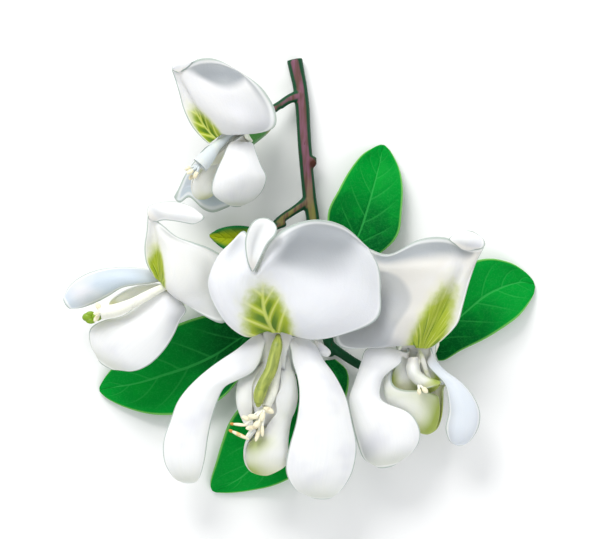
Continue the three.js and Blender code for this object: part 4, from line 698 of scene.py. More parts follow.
def leaf_sheet(stations, vein_height):
    """A leaflet creased along its midrib, with sunken veins, pillows between them and a waved rim."""
    plain = between(stations, 1.4)

    def surface(u, v):
        x, y, z = plain(0.5 + (u - 0.5) * closing(v, 0.92, 4, 0.05), v)
        off = abs(2 * u - 1)
        right = u > 0.5
        ladder = (VEIN_PAIRS * (v - VEIN_LEAN * off - VEIN_CURVE * off * off + VEIN_SHIFT * right)) % 1.0
        side_vein = bell(ladder, 0.5, 0.11) * smooth(off, 0.03, 0.12) * (1 - smooth(off, 0.8, 0.95))
        pillow = 0.1 * math.sin(math.pi * ladder) ** 2 * off * (1 - off)
        wave = 0.12 * smooth(off, 0.6, 1.0) * math.sin(17 * v + 2 * right)
        sunk = vein_height * (1.6 * bell(off, 0, 0.05) + side_vein)
        return [x, y, max(z - sunk + pillow + wave, TABLE_LEVEL)]

    return surface


# Meshes


def new_mesh():
    """An empty mesh with UV for the place on a sheet and on a banner's patch, and with weights."""
    bm = bmesh.new()
    bm.loops.layers.uv.new("blade")
    bm.loops.layers.uv.new("mark")
    bm.verts.layers.deform.verify()
    return bm


def flat_grid(bm, across, along):
    """Adds a flat grid, and gives the place of each of its points on it, from 0 to 1."""
    grid = bmesh.ops.create_grid(bm, x_segments=across, y_segments=along, size=0.5)["verts"]
    return {vertex: (vertex.co.x + 0.5, vertex.co.y + 0.5) for vertex in grid}


def dress(bm, material, **places):
    """Gives the faces round some points a material and their corners UV, and returns these faces."""
    spots = next(iter(places.values()))
    faces = dict.fromkeys(face for vertex in spots for face in vertex.link_faces)
    for face in faces:
        face.material_index = material
        for name, place_of in places.items():
            for loop in face.loops:
                loop[bm.loops.layers.uv[name]].uv = place_of[loop.vert]
    return faces


def mark_plane(mark, point):
    """Where a point lies on a banner's patch: -1 to 1 across it, and 0 to 1 along it."""
    way = Vector(mark["way"]).normalized()
    off = Vector(point[:2]) - Vector(mark["foot"])
    across = off.dot(Vector((way.y, -way.x)))
    return across / (mark["right"] if across > 0 else mark["left"]), off.dot(way) / mark["length"]


def add_sheet(bm, surface, across, along, mark=None, material=0):
    """Bends a flat grid to the surface, and marks its rim thinner."""
    deform = bm.verts.layers.deform.active
    share = flat_grid(bm, across, along)
    spot = {}
    for vertex, (u, v) in share.items():
        point = surface(u, v)
        vertex.co = metres(point)
        spot[vertex] = mark_plane(mark, point) if mark else (0.0, 0.0)
        rim = min(u, 1 - u, (1 - v) * 0.8)
        vertex[deform][0] = RIM_SHARE + (1 - RIM_SHARE) * smooth(rim, 0.0, 0.1)
    dress(bm, material, blade=share, mark=spot)


def add_tube(bm, points, steps, sides, mouth=0.0):
    """Rolls a flat grid into a round tube of changing radius and closes its ends.
    Where mouth is more than 0, its far end is hollow to that depth."""
    deform = bm.verts.layers.deform.active
    share = flat_grid(bm, sides, steps)
    for vertex, (u, v) in share.items():
        here = through(points, v)
        way = direction(points, v)
        side = Vector((0, 0, 1)).cross(way).normalized()
        turn = 2 * math.pi * u
        round_it = side * math.cos(turn) + way.cross(side) * math.sin(turn)
        vertex.co = metres(Vector(here[:3]) + round_it * here[3])
        vertex[deform][0] = 1.0
    faces = dress(bm, 0, blade=share)
    bmesh.ops.remove_doubles(bm, verts=list(share), dist=1e-7)
    ends = dict.fromkeys(edge for face in faces if face.is_valid for edge in face.edges if edge.is_boundary)
    caps = bmesh.ops.holes_fill(bm, edges=list(ends), sides=0)["faces"]
    if mouth:
        end = metres(points[-1][:3])
        cap = min(caps, key=lambda face: (face.calc_center_median() - end).length)
        for thick, deep in ((0.14, 0.0), (0.06, mouth)):
            bmesh.ops.inset_region(bm, faces=[cap], thickness=thick * MM, use_even_offset=True)
            bmesh.ops.translate(bm, verts=cap.verts, vec=-direction(points, 1.0) * deep * MM)


def add_turned(bm, line, sides):
    """Turns a line of [radius, height] points round the z axis, and gives the points of the shape. Unlike
    Blender's own spin and sphere it makes its faces in the same order each time."""
    rings = []
    for radius, height in line:
        turns = [2 * math.pi * n / sides for n in range(sides if radius > 1e-5 else 1)]
        rings.append([bm.verts.new((radius * math.cos(a), radius * math.sin(a), height)) for a in turns])
    for low, high in zip(rings, rings[1:]):
        for n in range(sides):
            corners = [low[n % len(low)], low[(n + 1) % len(low)]]
            corners += [high[(n + 1) % len(high)], high[n % len(high)]]
            bm.faces.new(list(dict.fromkeys(corners)))
    return [vertex for ring in rings for vertex in ring]


def add_bead(bm, centre, way, half, length, material=0, cleft=0.0):
    """An egg shape that lies along way, with a furrow down its length where cleft is more than 0."""
    made = add_turned(bm, [(math.sin(math.pi * n / 12), math.cos(math.pi * n / 12)) for n in range(13)], 16)
    turn = Vector((0, 0, 1)).rotation_difference(Vector(way).normalized())
    for vertex in made:
        x, y, z = vertex.co
        pinch = 1 - cleft * math.exp(-((x / 0.28) ** 2))
        vertex.co = metres(Vector(centre) + turn @ Vector((x * half, y * half * pinch, z * length / 2)))
    for face in {face for vertex in made for face in vertex.link_faces}:
        face.material_index = material


def flared(line, share):
    """A stalk's stations, with its foot on the twig made wider."""
    return [[*line[0][:3], line[0][3] * share], *line[1:]]


def add_piece(name, bm, node, materials, thick=0.0, levels=1):
    """Turns a mesh into the piece that is shown in place of a node."""
    mesh = bpy.data.meshes.new(name)
    bmesh.ops.recalc_face_normals(bm, faces=bm.faces)
    bm.to_mesh(mesh)
    bm.free()
    mesh.shade_smooth()
    for material in materials:
        mesh.materials.append(material)
    piece = bpy.data.objects.new(name, mesh)
    bpy.context.scene.collection.objects.link(piece)
    if thick:
        piece.vertex_groups.new(name="thickness")
        body = piece.modifiers.new("Body", "SOLIDIFY")
        body.thickness = thick
        body.offset = 0
        body.vertex_group = "thickness"
    if levels:
        soft = piece.modifiers.new("Soften", "SUBSURF")
        soft.levels = soft.render_levels = levels
    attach(piece, "root")
    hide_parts(node)
    return piece


# Materials


class Value:
    """A number that the shader works out. Plain sums with it add the nodes for them."""

    def __init__(self, paint, socket):
        self.paint, self.socket = paint, socket

    def __add__(self, other):
        return self.paint.math("ADD", self, other)

    def __sub__(self, other):
        return self.paint.math("SUBTRACT", self, other)

    def __rsub__(self, other):
        return self.paint.math("SUBTRACT", other, self)

    def __mul__(self, other):
        return self.paint.math("MULTIPLY", self, other)

    def __abs__(self):
        return self.paint.math("ABSOLUTE", self)


class Paint:
    """A material under construction: colours are laid over its ground one after another."""

    def __init__(self, name, ground, roughness=0.5, soak=0.0, sheen=0.0, shine=0.5):
        self.material = bpy.data.materials.new(name)
        self.material.use_nodes = True
        self.tree = self.material.node_tree
        self.shader = self.tree.nodes["Principled BSDF"]
        self.shader.inputs["Roughness"].default_value = roughness
        self.shader.inputs["Subsurface Weight"].default_value = soak
        self.shader.inputs["Subsurface Radius"].default_value = (1.0, 0.95, 0.8)
        self.shader.inputs["Subsurface Scale"].default_value = 0.0008
        self.shader.inputs["Sheen Weight"].default_value = sheen
        self.shader.inputs["Specular IOR Level"].default_value = shine
        self.coords = self.node("TexCoord").outputs["Object"]
        self.colour = ground

    def put(self, socket, value):
        """Links or sets an input."""
        if isinstance(value, Value):
            value = value.socket
        if isinstance(value, bpy.types.NodeSocket):
            self.tree.links.new(value, socket)
        elif socket.type == "RGBA":
            socket.default_value = (*value, 1.0)
        else:
            socket.default_value = value

    def node(self, kind, inputs=None, **settings):
        """A new node with its settings, and with its inputs by name or number."""
        node = self.tree.nodes.new("ShaderNode" + kind)
        for name, value in settings.items():
            setattr(node, name, value)
        for name, value in (inputs or {}).items():
            self.put(node.inputs[name], value)
        return node

    def uv(self, name):
        return self.node("UVMap", uv_map=name).outputs["UV"]

    def split(self, vector):
        return [Value(self, socket) for socket in self.node("SeparateXYZ", {0: vector}).outputs]

    def join(self, x, y):
        return self.node("CombineXYZ", {0: x, 1: y}).outputs[0]

    def stretch(self, vector, size):
        return self.node("Mapping", {"Vector": vector, "Scale": size}).outputs[0]

    def math(self, operation, a, b=0.0):
        return Value(self, self.node("Math", {0: a, 1: b}, operation=operation).outputs[0])

    def noise(self, scale, detail=3.0, rough=0.5, warp=0.0, at=None):
        """Noise over the object's own coordinates, or over those that at gives."""
        at = self.coords if at is None else at
        inputs = {"Vector": at, "Scale": scale, "Detail": detail, "Roughness": rough, "Distortion": warp}
        return Value(self, self.node("TexNoise", inputs).outputs["Fac"])

    def step(self, value, low, high):
        """0 below low and 1 above high, or the other way round where low is the larger."""
        inputs = {"Value": value, "From Min": min(low, high), "From Max": max(low, high)}
        inputs |= {"To Min": float(low > high), "To Max": float(low < high)}
        return Value(self, self.node("MapRange", inputs, interpolation_type="SMOOTHSTEP").outputs["Result"])

    def bell(self, value, middle, reach):
        off = (value - middle) * (1 / reach)
        return self.math("EXPONENT", off * off * -1.0)

    def mix(self, share, a, b):
        return self.node("Mix", {0: share, 6: a, 7: b}, data_type="RGBA").outputs[2]

    def tint(self, share, colour):
        """Lays a colour over the others, as strongly as share says."""
        self.colour = self.mix(share, self.colour, colour)

    def done(self, height=None, depth=0.0, strength=1.0, rough=None):
        """The finished material, with relief of a depth in metres."""
        self.put(self.shader.inputs["Base Color"], self.colour)
        if height is not None:
            bump = self.node("Bump", {"Height": height, "Distance": depth, "Strength": strength})
            self.put(self.shader.inputs["Normal"], bump.outputs[0])
        if rough is not None:
            self.put(self.shader.inputs["Roughness"], rough)
        return self.material


class PetalPaint(Paint):
    """A white petal, with soft clouds and the fine veins that run from its stalk to its tip."""

    def __init__(self, name, colours, white, cloud_colour, clouds, soak=0.45):
        super().__init__(name, white, soak=soak, sheen=0.1, shine=0.3)
        self.colours = colours
        blade = self.uv("blade")
        self.u, self.v, _ = self.split(blade)
        size, low, high = clouds
        self.cloud = self.noise(size, 2)
        self.lines = self.step(self.noise(1.0, 3, 0.55, 0.9, self.stretch(blade, FINE_VEINS)), 0.4, 0.72)
        self.tint(self.step(self.cloud, low, high), cloud_colour)
        self.tint(self.lines * 0.1, colours.petal_vein)

    def spots(self, places, colour):
        """Lays a colour over places given as in SHADES."""
        total = 0.0
        for at_u, at_v, far_u, far_v, strength in places:
            total = self.bell(self.u, at_u, far_u) * self.bell(self.v, at_v, far_v) * strength + total
        if places:
            self.tint(self.math("MINIMUM", total, 1.0), colour)

    def rim(self, width, length):
        """The pale rim and thin darker edge of a petal of this width and length in millimetres."""
        across = self.math("MINIMUM", self.u, 1.0 - self.u) * width
        off = self.math("MINIMUM", across, (1.0 - self.v) * length)
        self.tint(self.step(off, 0.5, 0.3) * 0.5, self.colours.petal_rim)
        self.tint(self.step(off, 0.26, 0.06) * 0.85, self.colours.petal_edge)

    def finish(self, depth, relief=None):
        """The finished material, with its veins and a fine grain in relief."""
        height = self.lines * 0.45 + self.noise(GRAIN, 2)
        return self.done(height if relief is None else height + relief, depth, 0.5, self.cloud * 0.25 + 0.38)


def petal(name, colours, white, cloud_colour, tip, places, extent, greens=(), soak=0.45):
    """A wing, keel or lip: shaded and green places, a tinted tip and foot, and a rim if extent is given."""
    paint = PetalPaint(name, colours, white, cloud_colour, (190, 0.42, 0.75), soak)
    paint.spots(places, colours.petal_grey)
    paint.tint(paint.step(paint.v, 0.8, 1.0), tip)
    paint.tint(paint.step(paint.v, 0.3, 0.1), colours.claw)
    if extent:
        paint.rim(*extent)
    paint.spots(greens, colours.keel_green)
    return paint.finish(0.00004)


def rim_shade_band(paint, band, width, length):
    """How strongly the painted shade band under a banner's rim shows, for one row of its table."""
    start, middle, reach, depth, taper, soft, round_side, strength = band
    u, v = paint.u, paint.v
    off = (1.0 - v) * length
    if round_side:
        off = paint.math("MINIMUM", off, (1.0 - u) * (width * 2.3))
        end = paint.step(v, 0.45, 0.88)
    else:
        end = paint.step(u, 0.86, 0.76)
    off = off - paint.bell(u, middle, reach) * taper
    band = paint.step(off, depth - taper, depth - taper - soft)
    return band * paint.step(u, start, start + 0.1) * end * strength


def patch_pattern(paint, branched):
    """A banner's patch: how strongly its veins and its green core show, and how far out a point lies."""
    across, along, _ = paint.split(paint.uv("mark"))
    reach = paint.math("SQRT", across * across + along * along)
    edge = paint.noise(900, 2) * 0.26 + reach
    if branched:
        bend = paint.math("SINE", along * 5.0) * 0.1 + across
        side = abs(bend)
        other_half = paint.math("GREATER_THAN", bend, 0.0) * 0.5
        beat = paint.math("PINGPONG", (side * -0.55 + along) * 3.3 + other_half, 0.5)
        vein = paint.math("MAXIMUM", paint.step(side, 0.085, 0.02), paint.step(beat, 0.15, 0.03)) * 0.85
        core = paint.step(beat, 0.12, 0.34) * paint.step(side, 0.75, 0.18)
    else:
        angle = paint.math("ARCTAN2", across, along + 0.12)
        fine = paint.noise(1.0, 3, 0.6, 0.5, paint.stretch(paint.join(angle, reach), (9.0, 1.3, 1)))
        vein = paint.step(fine, 0.54, 0.66) * 0.7
        core = paint.step(fine, 0.5, 0.36)
    return vein * paint.step(edge, 1.12, 0.75), core * paint.step(edge, 0.98, 0.45), edge


def banner_petal(name, colours, extent, branched):
    """The banner: white, with a yellow-green patch at its foot that pale veins run through.
    They branch off a middle vein, or run beside each other as fine streaks."""
    white = getattr(colours, "banner_" + name)
    paint = PetalPaint(f"{name} banner petal", colours, white, colours.petal_shade, (170, 0.45, 0.8))
    # Painted shade: grey spots laid over the banner.
    paint.spots(BANNER_SHADE_SPOTS[name], colours.banner_grey)
    # Painted shade: a grey field with a crisp edge, beyond a fold.
    if name in FOLD_SHADES:
        at_u, at_v, wide, high, dark = FOLD_SHADES[name]
        away_u, away_v = (paint.u - at_u) * (1 / wide), (paint.v - at_v) * (1 / high)
        paint.tint(paint.step(away_u * away_u + away_v * away_v, 1.12, 0.86) * dark, colours.banner_grey)
    # Painted shade: a grey band just under the banner's rim.
    paint.tint(rim_shade_band(paint, RIM_SHADES[name], *extent), colours.banner_grey)
    vein, core, edge = patch_pattern(paint, branched)
    green = paint.mix(core, colours.patch_yellow, colours.patch_green)
    green = paint.mix(vein, green, colours.patch_vein)
    paint.tint(paint.step(edge, 1.28, 0.78) * 0.32, colours.patch_halo)
    paint.tint(paint.step(edge, 1.06, 0.68), green)
    paint.tint(paint.step(paint.v, 0.16, 0.08), colours.claw)
    paint.rim(*extent)
    return paint.finish(0.00005, vein * 1.5)


def leaf_skin(name, bright, dark, warm, vein_colour, rim_colour, rim_from=0.93):
    """A leaflet: midrib, veins where its sheet sinks them, painted shade towards the stalk, with a thin rim.
    """
    paint = Paint(name, bright, shine=0.03)
    u, v, _ = paint.split(paint.uv("blade"))
    off = abs(u * 2.0 - 1.0)
    blotch = paint.noise(160, 3, 0.55)
    # Painted shade: a darker green towards the stalk, with a blotchy edge.
    paint.tint(paint.step(blotch * 0.5 + v, 0.95, 0.45), dark)
    paint.tint(paint.step(paint.noise(420, 3, 0.6), 0.5, 0.72) * 0.4, warm)
    right = paint.math("GREATER_THAN", u, 0.5)
    climb = v + off * (off * -VEIN_CURVE - VEIN_LEAN) + right * VEIN_SHIFT
    ladder = paint.math("FRACT", climb * VEIN_PAIRS)
    side = paint.step(abs(ladder - 0.5), 0.07, 0.015) * paint.step(off, 0.95, 0.45)
    cells = paint.step(abs(paint.noise(1900, 2, 0.6) - 0.5), 0.045, 0.01)
    for share, strength in ((cells, 0.14), (side, 0.3), (paint.step(off, 0.05, 0.02), 0.6)):
        paint.tint(share * strength, vein_colour)
    paint.tint(paint.step(off, rim_from, 0.985), rim_colour)
    return paint.done(cells * -0.4 + side * -0.6, 0.00005, 0.6, blotch * 0.3 + 0.36)


def bark_skin(colours):
    """Thin bark: mauve on top and green down the sides, turning olive towards the flowers."""
    paint = Paint("twig bark", colours.bark_mauve, shine=0.2)
    x, y, _ = paint.split(paint.coords)
    up = paint.split(paint.node("NewGeometry").outputs["Normal"])[2]
    streak = paint.noise(1.0, 4, 0.6, at=paint.stretch(paint.coords, (1500, 130, 1500)))
    wide = paint.noise(1.0, 2, at=paint.stretch(paint.coords, (500, 90, 500)))
    pore = paint.noise(1.0, 1, at=paint.stretch(paint.coords, (2600, 900, 2600)))
    paint.tint(paint.step(streak, 0.38, 0.64), colours.bark_brown)
    olive = paint.mix(paint.step(streak, 0.4, 0.62), colours.bark_olive, colours.bark_brown)
    paint.tint(paint.step(paint.noise(330, 3) * 0.006 + y, 0.017, 0.011), olive)
    paint.tint(paint.step(wide * 0.4 + up, 1.15, 0.98), colours.bark_green)
    paint.tint(paint.step(streak * 0.003 + y, 0.0025, -0.001), colours.bark_green)
    scar_x, scar_y, _ = metres(BUD_SCAR)
    scar = paint.bell(x, scar_x, 0.00045) * paint.bell(y, scar_y, 0.00055)
    scar = paint.math("MINIMUM", scar * 1.6, 1.0)
    pore = paint.math("MAXIMUM", paint.step(pore, 0.7, 0.78) * 0.6, scar)
    paint.tint(pore, colours.bark_pore)
    return paint.done(streak + pore * 0.6, 0.00012, 0.6)


def calyx_skin(colours):
    """The calyx: soft green with a russet flush and down."""
    paint = Paint("calyx skin", colours.calyx_green, 0.7, soak=0.05, sheen=0.35, shine=0.25)
    down = paint.noise(4200, 3, 0.7)
    paint.tint(paint.step(paint.noise(260, 3), 0.45, 0.75) * 0.75, colours.calyx_russet)
    paint.tint(paint.step(down, 0.5, 0.8) * 0.12, colours.claw)
    return paint.done(down, 0.00008, 0.7)


def cream_skin(name, colour, stain, share):
    """Stamens, anthers and calyx linings: cream with stains, and a fine meal on the surface."""
    paint = Paint(name, colour, 0.6, soak=0.12, shine=0.3)
    paint.tint(paint.step(paint.noise(700, 3, 0.6), 0.5, 0.66) * share, stain)
    return paint.done(paint.noise(6000, 2), 0.00005, 0.6)


def green_skin(name, lime, olive, dark):
    """The pistil: lime green, with darker lengthwise shading."""
    paint = Paint(name, lime, 0.42, soak=0.08, shine=0.4)
    fibre = paint.noise(1.0, 3, at=paint.stretch(paint.uv("blade"), (9, 3, 1)))
    paint.tint(paint.step(fibre, 0.38, 0.62), olive)
    paint.tint(paint.step(paint.noise(900, 2), 0.5, 0.7) * 0.5, dark)
    return paint.done(fibre, 0.00006, 0.6)


# What a user would change


def size(name, description, default):
    return FloatProperty(
        name=name, description=description, default=default, min=0.0, unit="LENGTH", precision=5
    )


def shade(name, description, *screen):
    return FloatVectorProperty(
        name=name, description=description, default=linear(*screen), size=3, min=0, max=1, subtype="COLOR"
    )


class SpraySizes(bpy.types.PropertyGroup):
    petal_thickness: size("Petal thickness", "Thickness of a petal away from its rim", 0.00034)
    leaf_thickness: size("Leaflet thickness", "Thickness of a leaflet away from its rim", 0.00040)
    vein_depth: size("Vein depth", "Depth of a leaflet's veins in its upper face", 0.00009)
    thread_radius: size("Thread radius", "Radius of a stamen's free thread", 0.00017)
    view_width: size("View width", "Width of the table that the camera sees", 0.075)
    view_distance: size("View distance", "Height of the camera over the table", 1.2)


class SprayColours(bpy.types.PropertyGroup):
    petal: shade("Petal", "Wings in full light", 0.955, 0.955, 0.955)
    banner_upper: shade("Upper banner", "Banner of the upper flower", 0.87, 0.87, 0.875)
    banner_left: shade("Left banner", "Banner of the left flower", 0.90, 0.90, 0.885)
    banner_middle: shade("Middle banner", "Banner of the middle flower", 0.90, 0.905, 0.92)
    banner_right: shade("Right banner", "Banner of the right flower", 0.83, 0.82, 0.80)
    lip: shade("Lip", "The banners' rolled corners", 0.91, 0.915, 0.91)
    petal_shade: shade("Petal shade", "Soft clouds on the petals", 0.885, 0.885, 0.905)
    petal_blue: shade("Petal blue", "Cool petals that lie in shade", 0.77, 0.815, 0.86)
    petal_cool: shade("Petal cool", "The right flower's front wing", 0.86, 0.885, 0.915)
    petal_vein: shade("Petal vein", "Fine veins in the petals", 0.82, 0.84, 0.84)
    petal_grey: shade("Petal grey", "Shaded places on the petals", 0.66, 0.67, 0.69)
    banner_grey: shade("Banner grey", "Shaded places on the banners", 0.60, 0.62, 0.64)
    petal_edge: shade("Petal edge", "The thin edge of a petal", 0.56, 0.63, 0.60)
    petal_rim: shade("Petal rim", "The pale rim inside that edge", 0.95, 0.95, 0.945)
    petal_tip: shade("Petal tip", "Wing tips", 0.84, 0.85, 0.81)
    claw: shade("Claw", "Foot of a petal", 0.86, 0.85, 0.83)
    keel: shade("Keel", "Keel petals", 0.95, 0.95, 0.92)
    # The keels' own pale colour, made paler still as painted light against the shade deep inside the keel.
    lining: shade("Keel lining", "Pale inner folds of the keels", 0.99, 0.99, 0.96)
    keel_shade: shade("Keel shade", "Clouds on the keels", 0.88, 0.89, 0.83)
    keel_tip: shade("Keel tip", "Tip of a keel", 0.84, 0.84, 0.70)
    keel_green: shade("Keel green", "Green places on the keels", 0.60, 0.66, 0.30)
    patch_yellow: shade("Patch yellow", "Outer part of a banner's patch", 0.64, 0.70, 0.17)
    patch_green: shade("Patch green", "Inner part of a banner's patch", 0.34, 0.49, 0.07)
    patch_vein: shade("Patch vein", "Veins through a banner's patch", 0.80, 0.83, 0.45)
    patch_halo: shade("Patch halo", "Faint tint around a banner's patch", 0.86, 0.87, 0.62)
    leaf_bright: shade("Leaf bright", "Leaflets in full light", 0.0, 0.56, 0.18)
    # Painted shade: the darker green that the leaflets take towards their stalks.
    leaf_dark: shade("Leaf dark", "Leaflets near the stalk", 0.0, 0.36, 0.14)
    leaf_vein: shade("Leaf vein", "Midrib and veins", 0.22, 0.68, 0.32)
    leaf_warm: shade("Leaf warm", "Lighter patches of a leaflet", 0.02, 0.60, 0.18)
    leaf_rim: shade("Leaf rim", "Rim of a leaflet", 0.46, 0.74, 0.36)
    young_bright: shade("Young leaf", "The young leaflet's middle", 0.60, 0.66, 0.10)
    young_warm: shade("Young leaf blush", "Orange patches on the young leaflet", 0.72, 0.52, 0.10)
    young_rim: shade("Young leaf rim", "The young leaflet's rim", 0.05, 0.42, 0.20)
    bark_mauve: shade("Bark mauve", "Top of the twig", 0.50, 0.33, 0.40)
    bark_brown: shade("Bark brown", "Streaks along the twig", 0.38, 0.27, 0.24)
    bark_olive: shade("Bark olive", "Lower part of the twig", 0.47, 0.46, 0.24)
    bark_green: shade("Bark green", "Sides of the twig", 0.02, 0.27, 0.15)
    bark_pore: shade("Bark pore", "Pores in the bark", 0.28, 0.14, 0.10)
    calyx_green: shade("Calyx green", "Calyx cups", 0.20, 0.50, 0.14)
    # The cups' own pale inside, made paler as painted light against the shade within the cups.
    calyx_lining: shade("Calyx lining", "Pale inside of the calyx cups", 0.93, 0.94, 0.88)
    calyx_russet: shade("Calyx russet", "Flush on the calyx cups", 0.76, 0.56, 0.14)
    thread: shade("Thread", "Column and threads of the stamens", 0.94, 0.94, 0.89)
    # Painted shade: a cool grey copy of the thread colour, for the upper flower's column.
    thread_shaded: shade("Cool thread", "The upper flower's column", 0.80, 0.83, 0.84)
    anther: shade("Anther", "Anthers", 0.95, 0.92, 0.80)
    anther_stain: shade("Anther stain", "Brown stains on the anthers", 0.66, 0.56, 0.42)
    anther_ripe: shade("Ripe anther", "Orange stains on the two longest anthers", 0.86, 0.66, 0.30)
    anther_tip: shade("Anther tip", "Tips of the two longest anthers", 0.80, 0.54, 0.26)
    pistil_lime: shade("Pistil lime", "Pistil in light", 0.66, 0.70, 0.33)
    pistil_olive: shade("Pistil olive", "Pistil in shade", 0.52, 0.57, 0.27)
    pistil_dark: shade("Pistil dark", "Darkest green of the pistil", 0.42, 0.50, 0.22)
    knob_green: shade("Knob green", "The left flower's knob", 0.50, 0.63, 0.12)
    table: shade("Table", "The table under the spray", 0.98, 0.98, 0.98)


# The pieces


class Maker:
    """What all operators share: each makes its pieces with the panel's sizes and colours."""

    def execute(self, context):
        self.make(context.scene.spray_sizes, context.scene.spray_colours)
        return {"FINISHED"}


class SPRAY_OT_twig(Maker, bpy.types.Operator):
    """The twig with its bud, its flower stalks and its leaflet stalks, grown together"""

    bl_idname = "spray.twig"
    bl_label = "Twig"

    def make(self, sizes, colours):
        bm = new_mesh()
        add_tube(bm, TWIG, 90, 32)
        for line in LEAF_STALKS:
            add_tube(bm, flared(line, 1.25), 12 * len(line), 20)
        foot = CALYX_BACK + CALYX_LENGTH + PEDICEL_GAP
        for flower in FLOWERS:
            end = [[*place(flower, -foot - 1.6), 0.5], [*place(flower, -foot), 0.55]]
            add_tube(bm, flared(FLOWER_STALKS[flower["name"]] + end, 1.3), 60, 20)
        for bead in BUD:
            add_bead(bm, *bead)
        twig = add_piece("twig_bark", bm, "twig", [bark_skin(colours)], levels=0)
        grown = twig.modifiers.new("Grow together", "REMESH")
        grown.mode = "VOXEL"
        grown.voxel_size = VOXEL
        grown.use_smooth_shade = True
        soft = twig.modifiers.new("Soften", "SMOOTH")
        soft.factor = 0.5
        soft.iterations = 6
        whole = bpy.data.meshes.new_from_object(twig.evaluated_get(bpy.context.evaluated_depsgraph_get()))
        twig.modifiers.clear()
        twig.data = whole


class SPRAY_OT_leaflets(Maker, bpy.types.Operator):
    """The five leaflets, with sunken veins and a waved rim"""

    bl_idname = "spray.leaflets"
    bl_label = "Leaflets"

    def make(self, sizes, colours):
        leaf = [getattr(colours, "leaf_" + part) for part in ("bright", "dark", "warm", "vein", "rim")]
        young = [getattr(colours, "young_" + part) for part in ("bright", "bright", "warm", "rim", "rim")]
        grown_skin, young_skin = leaf_skin("leaf skin", *leaf), leaf_skin("young leaf skin", *young, 0.3)
        for node, stations in LEAVES.items():
            bm = new_mesh()
            add_sheet(bm, leaf_sheet(stations, sizes.vein_depth / MM), *GRIDS["leaf"])
            slot, skin = ("young_leaf", young_skin) if node == "leaflet_young" else ("leaf", grown_skin)
            add_piece(node + "_blade", bm, node, [skin], sizes.leaf_thickness)


class SPRAY_OT_calyces(Maker, bpy.types.Operator):
    """The bell-shaped cup at the foot of each flower"""

    bl_idname = "spray.calyces"
    bl_label = "Calyces"

    def make(self, sizes, colours):
        skin = calyx_skin(colours)
        # Partly painted light: the lining is paler than the cups' own inside, to lift their shade.
        lining = cream_skin("calyx lining", colours.calyx_lining, colours.calyx_green, 0.25)
        outside = [through(CALYX_OUTSIDE, n / 18) for n in range(19)]
        inside = [through(CALYX_INSIDE, n / 10) for n in range(11)]
        for flower in FLOWERS:
            bm = new_mesh()
            add_turned(bm, outside + CALYX_RIM + inside, 60)
            for vertex in bm.verts:
                turn = math.atan2(vertex.co.y, vertex.co.x)
                lift = max(0.0, 1 + vertex.co.z / 1.2)
                vertex.co.z += lift * CALYX_TOOTH * math.cos(CALYX_TEETH * turn / 2) ** 2
                vertex.co.xy *= 1 + 0.012 * math.cos(2 * CALYX_TEETH * turn) * smooth(vertex.co.z, -5.2, -3.0)
            for face in bm.faces:
                spot = face.calc_center_median()
                wall = through(CALYX_MIDDLE, -spot.z / CALYX_LENGTH)[0]
                inner = spot.xy.length < wall or spot.z > -0.1
                face.material_index = int(spot.z > CALYX_FLOOR and inner)
            axis, up, side = flower_frame(flower)
            turned = Matrix((up, side, axis)).transposed()
            middle = Vector(place(flower, -CALYX_BACK))
            for vertex in bm.verts:
                vertex.co.xy *= CALYX_SLIM.get(flower["name"], 1.0)
                vertex.co = metres(turned @ vertex.co + middle)
            name = f"calyx_{flower['name']}"
            add_piece(name + "_cup", bm, name, [skin, lining])


class SPRAY_OT_banners(Maker, bpy.types.Operator):
    """The banner of each flower, with its rolled lip"""

    bl_idname = "spray.banners"
    bl_label = "Banners"

    def make(self, sizes, colours):
        for flower in FLOWERS:
            bm = new_mesh()
            name = flower["name"]
            blade, rolled = banner_sheet(flower), lip_sheet(flower)
            skin = banner_petal(name, colours, sheet_size(blade), flower in (UPPER, MIDDLE))
            lip = colours.lip
            places, extent = SHADES["lip_" + name], sheet_size(rolled)
            lip_skin = petal(f"{name} lip petal", colours, lip, colours.petal_shade, lip, places, extent)
            add_sheet(bm, blade, *GRIDS["banner"], MARKS[name])
            add_sheet(bm, rolled, *GRIDS["lip"], material=1)
            node = "banner_" + name
            add_piece(node + "_petal", bm, node, [skin, lip_skin], sizes.petal_thickness)


class SPRAY_OT_wings(Maker, bpy.types.Operator):
    """The two spoon-shaped wings of each flower"""

    bl_idname = "spray.wings"
    bl_label = "Wings"

    def make(self, sizes, colours):
        blue, cool = colours.petal_blue, colours.petal_cool
        shady = {"wing_back_upper": blue, "wing_back_left": blue, "wing_front_right": cool}
        for flower in FLOWERS:
            for side, turn in (("front", -math.pi / 2), ("back", math.pi / 2)):
                bm = new_mesh()
                node = f"wing_{side}_{flower['name']}"
                blade = wing_sheet(flower, flower[side + "_wing"], turn)
                add_sheet(bm, blade, *GRIDS["wing"])
                if node == "wing_front_middle":
                    add_sheet(bm, between(LOBE), *GRIDS["lobe"])
                white, tip = shady.get(node, colours.petal), shady.get(node, colours.petal_tip)
                name = f"{flower['name']} {side} wing petal"
                skin = petal(name, colours, white, colours.petal_shade, tip, SHADES[node], sheet_size(blade))
                add_piece(node + "_petal", bm, node, [skin], sizes.petal_thickness)


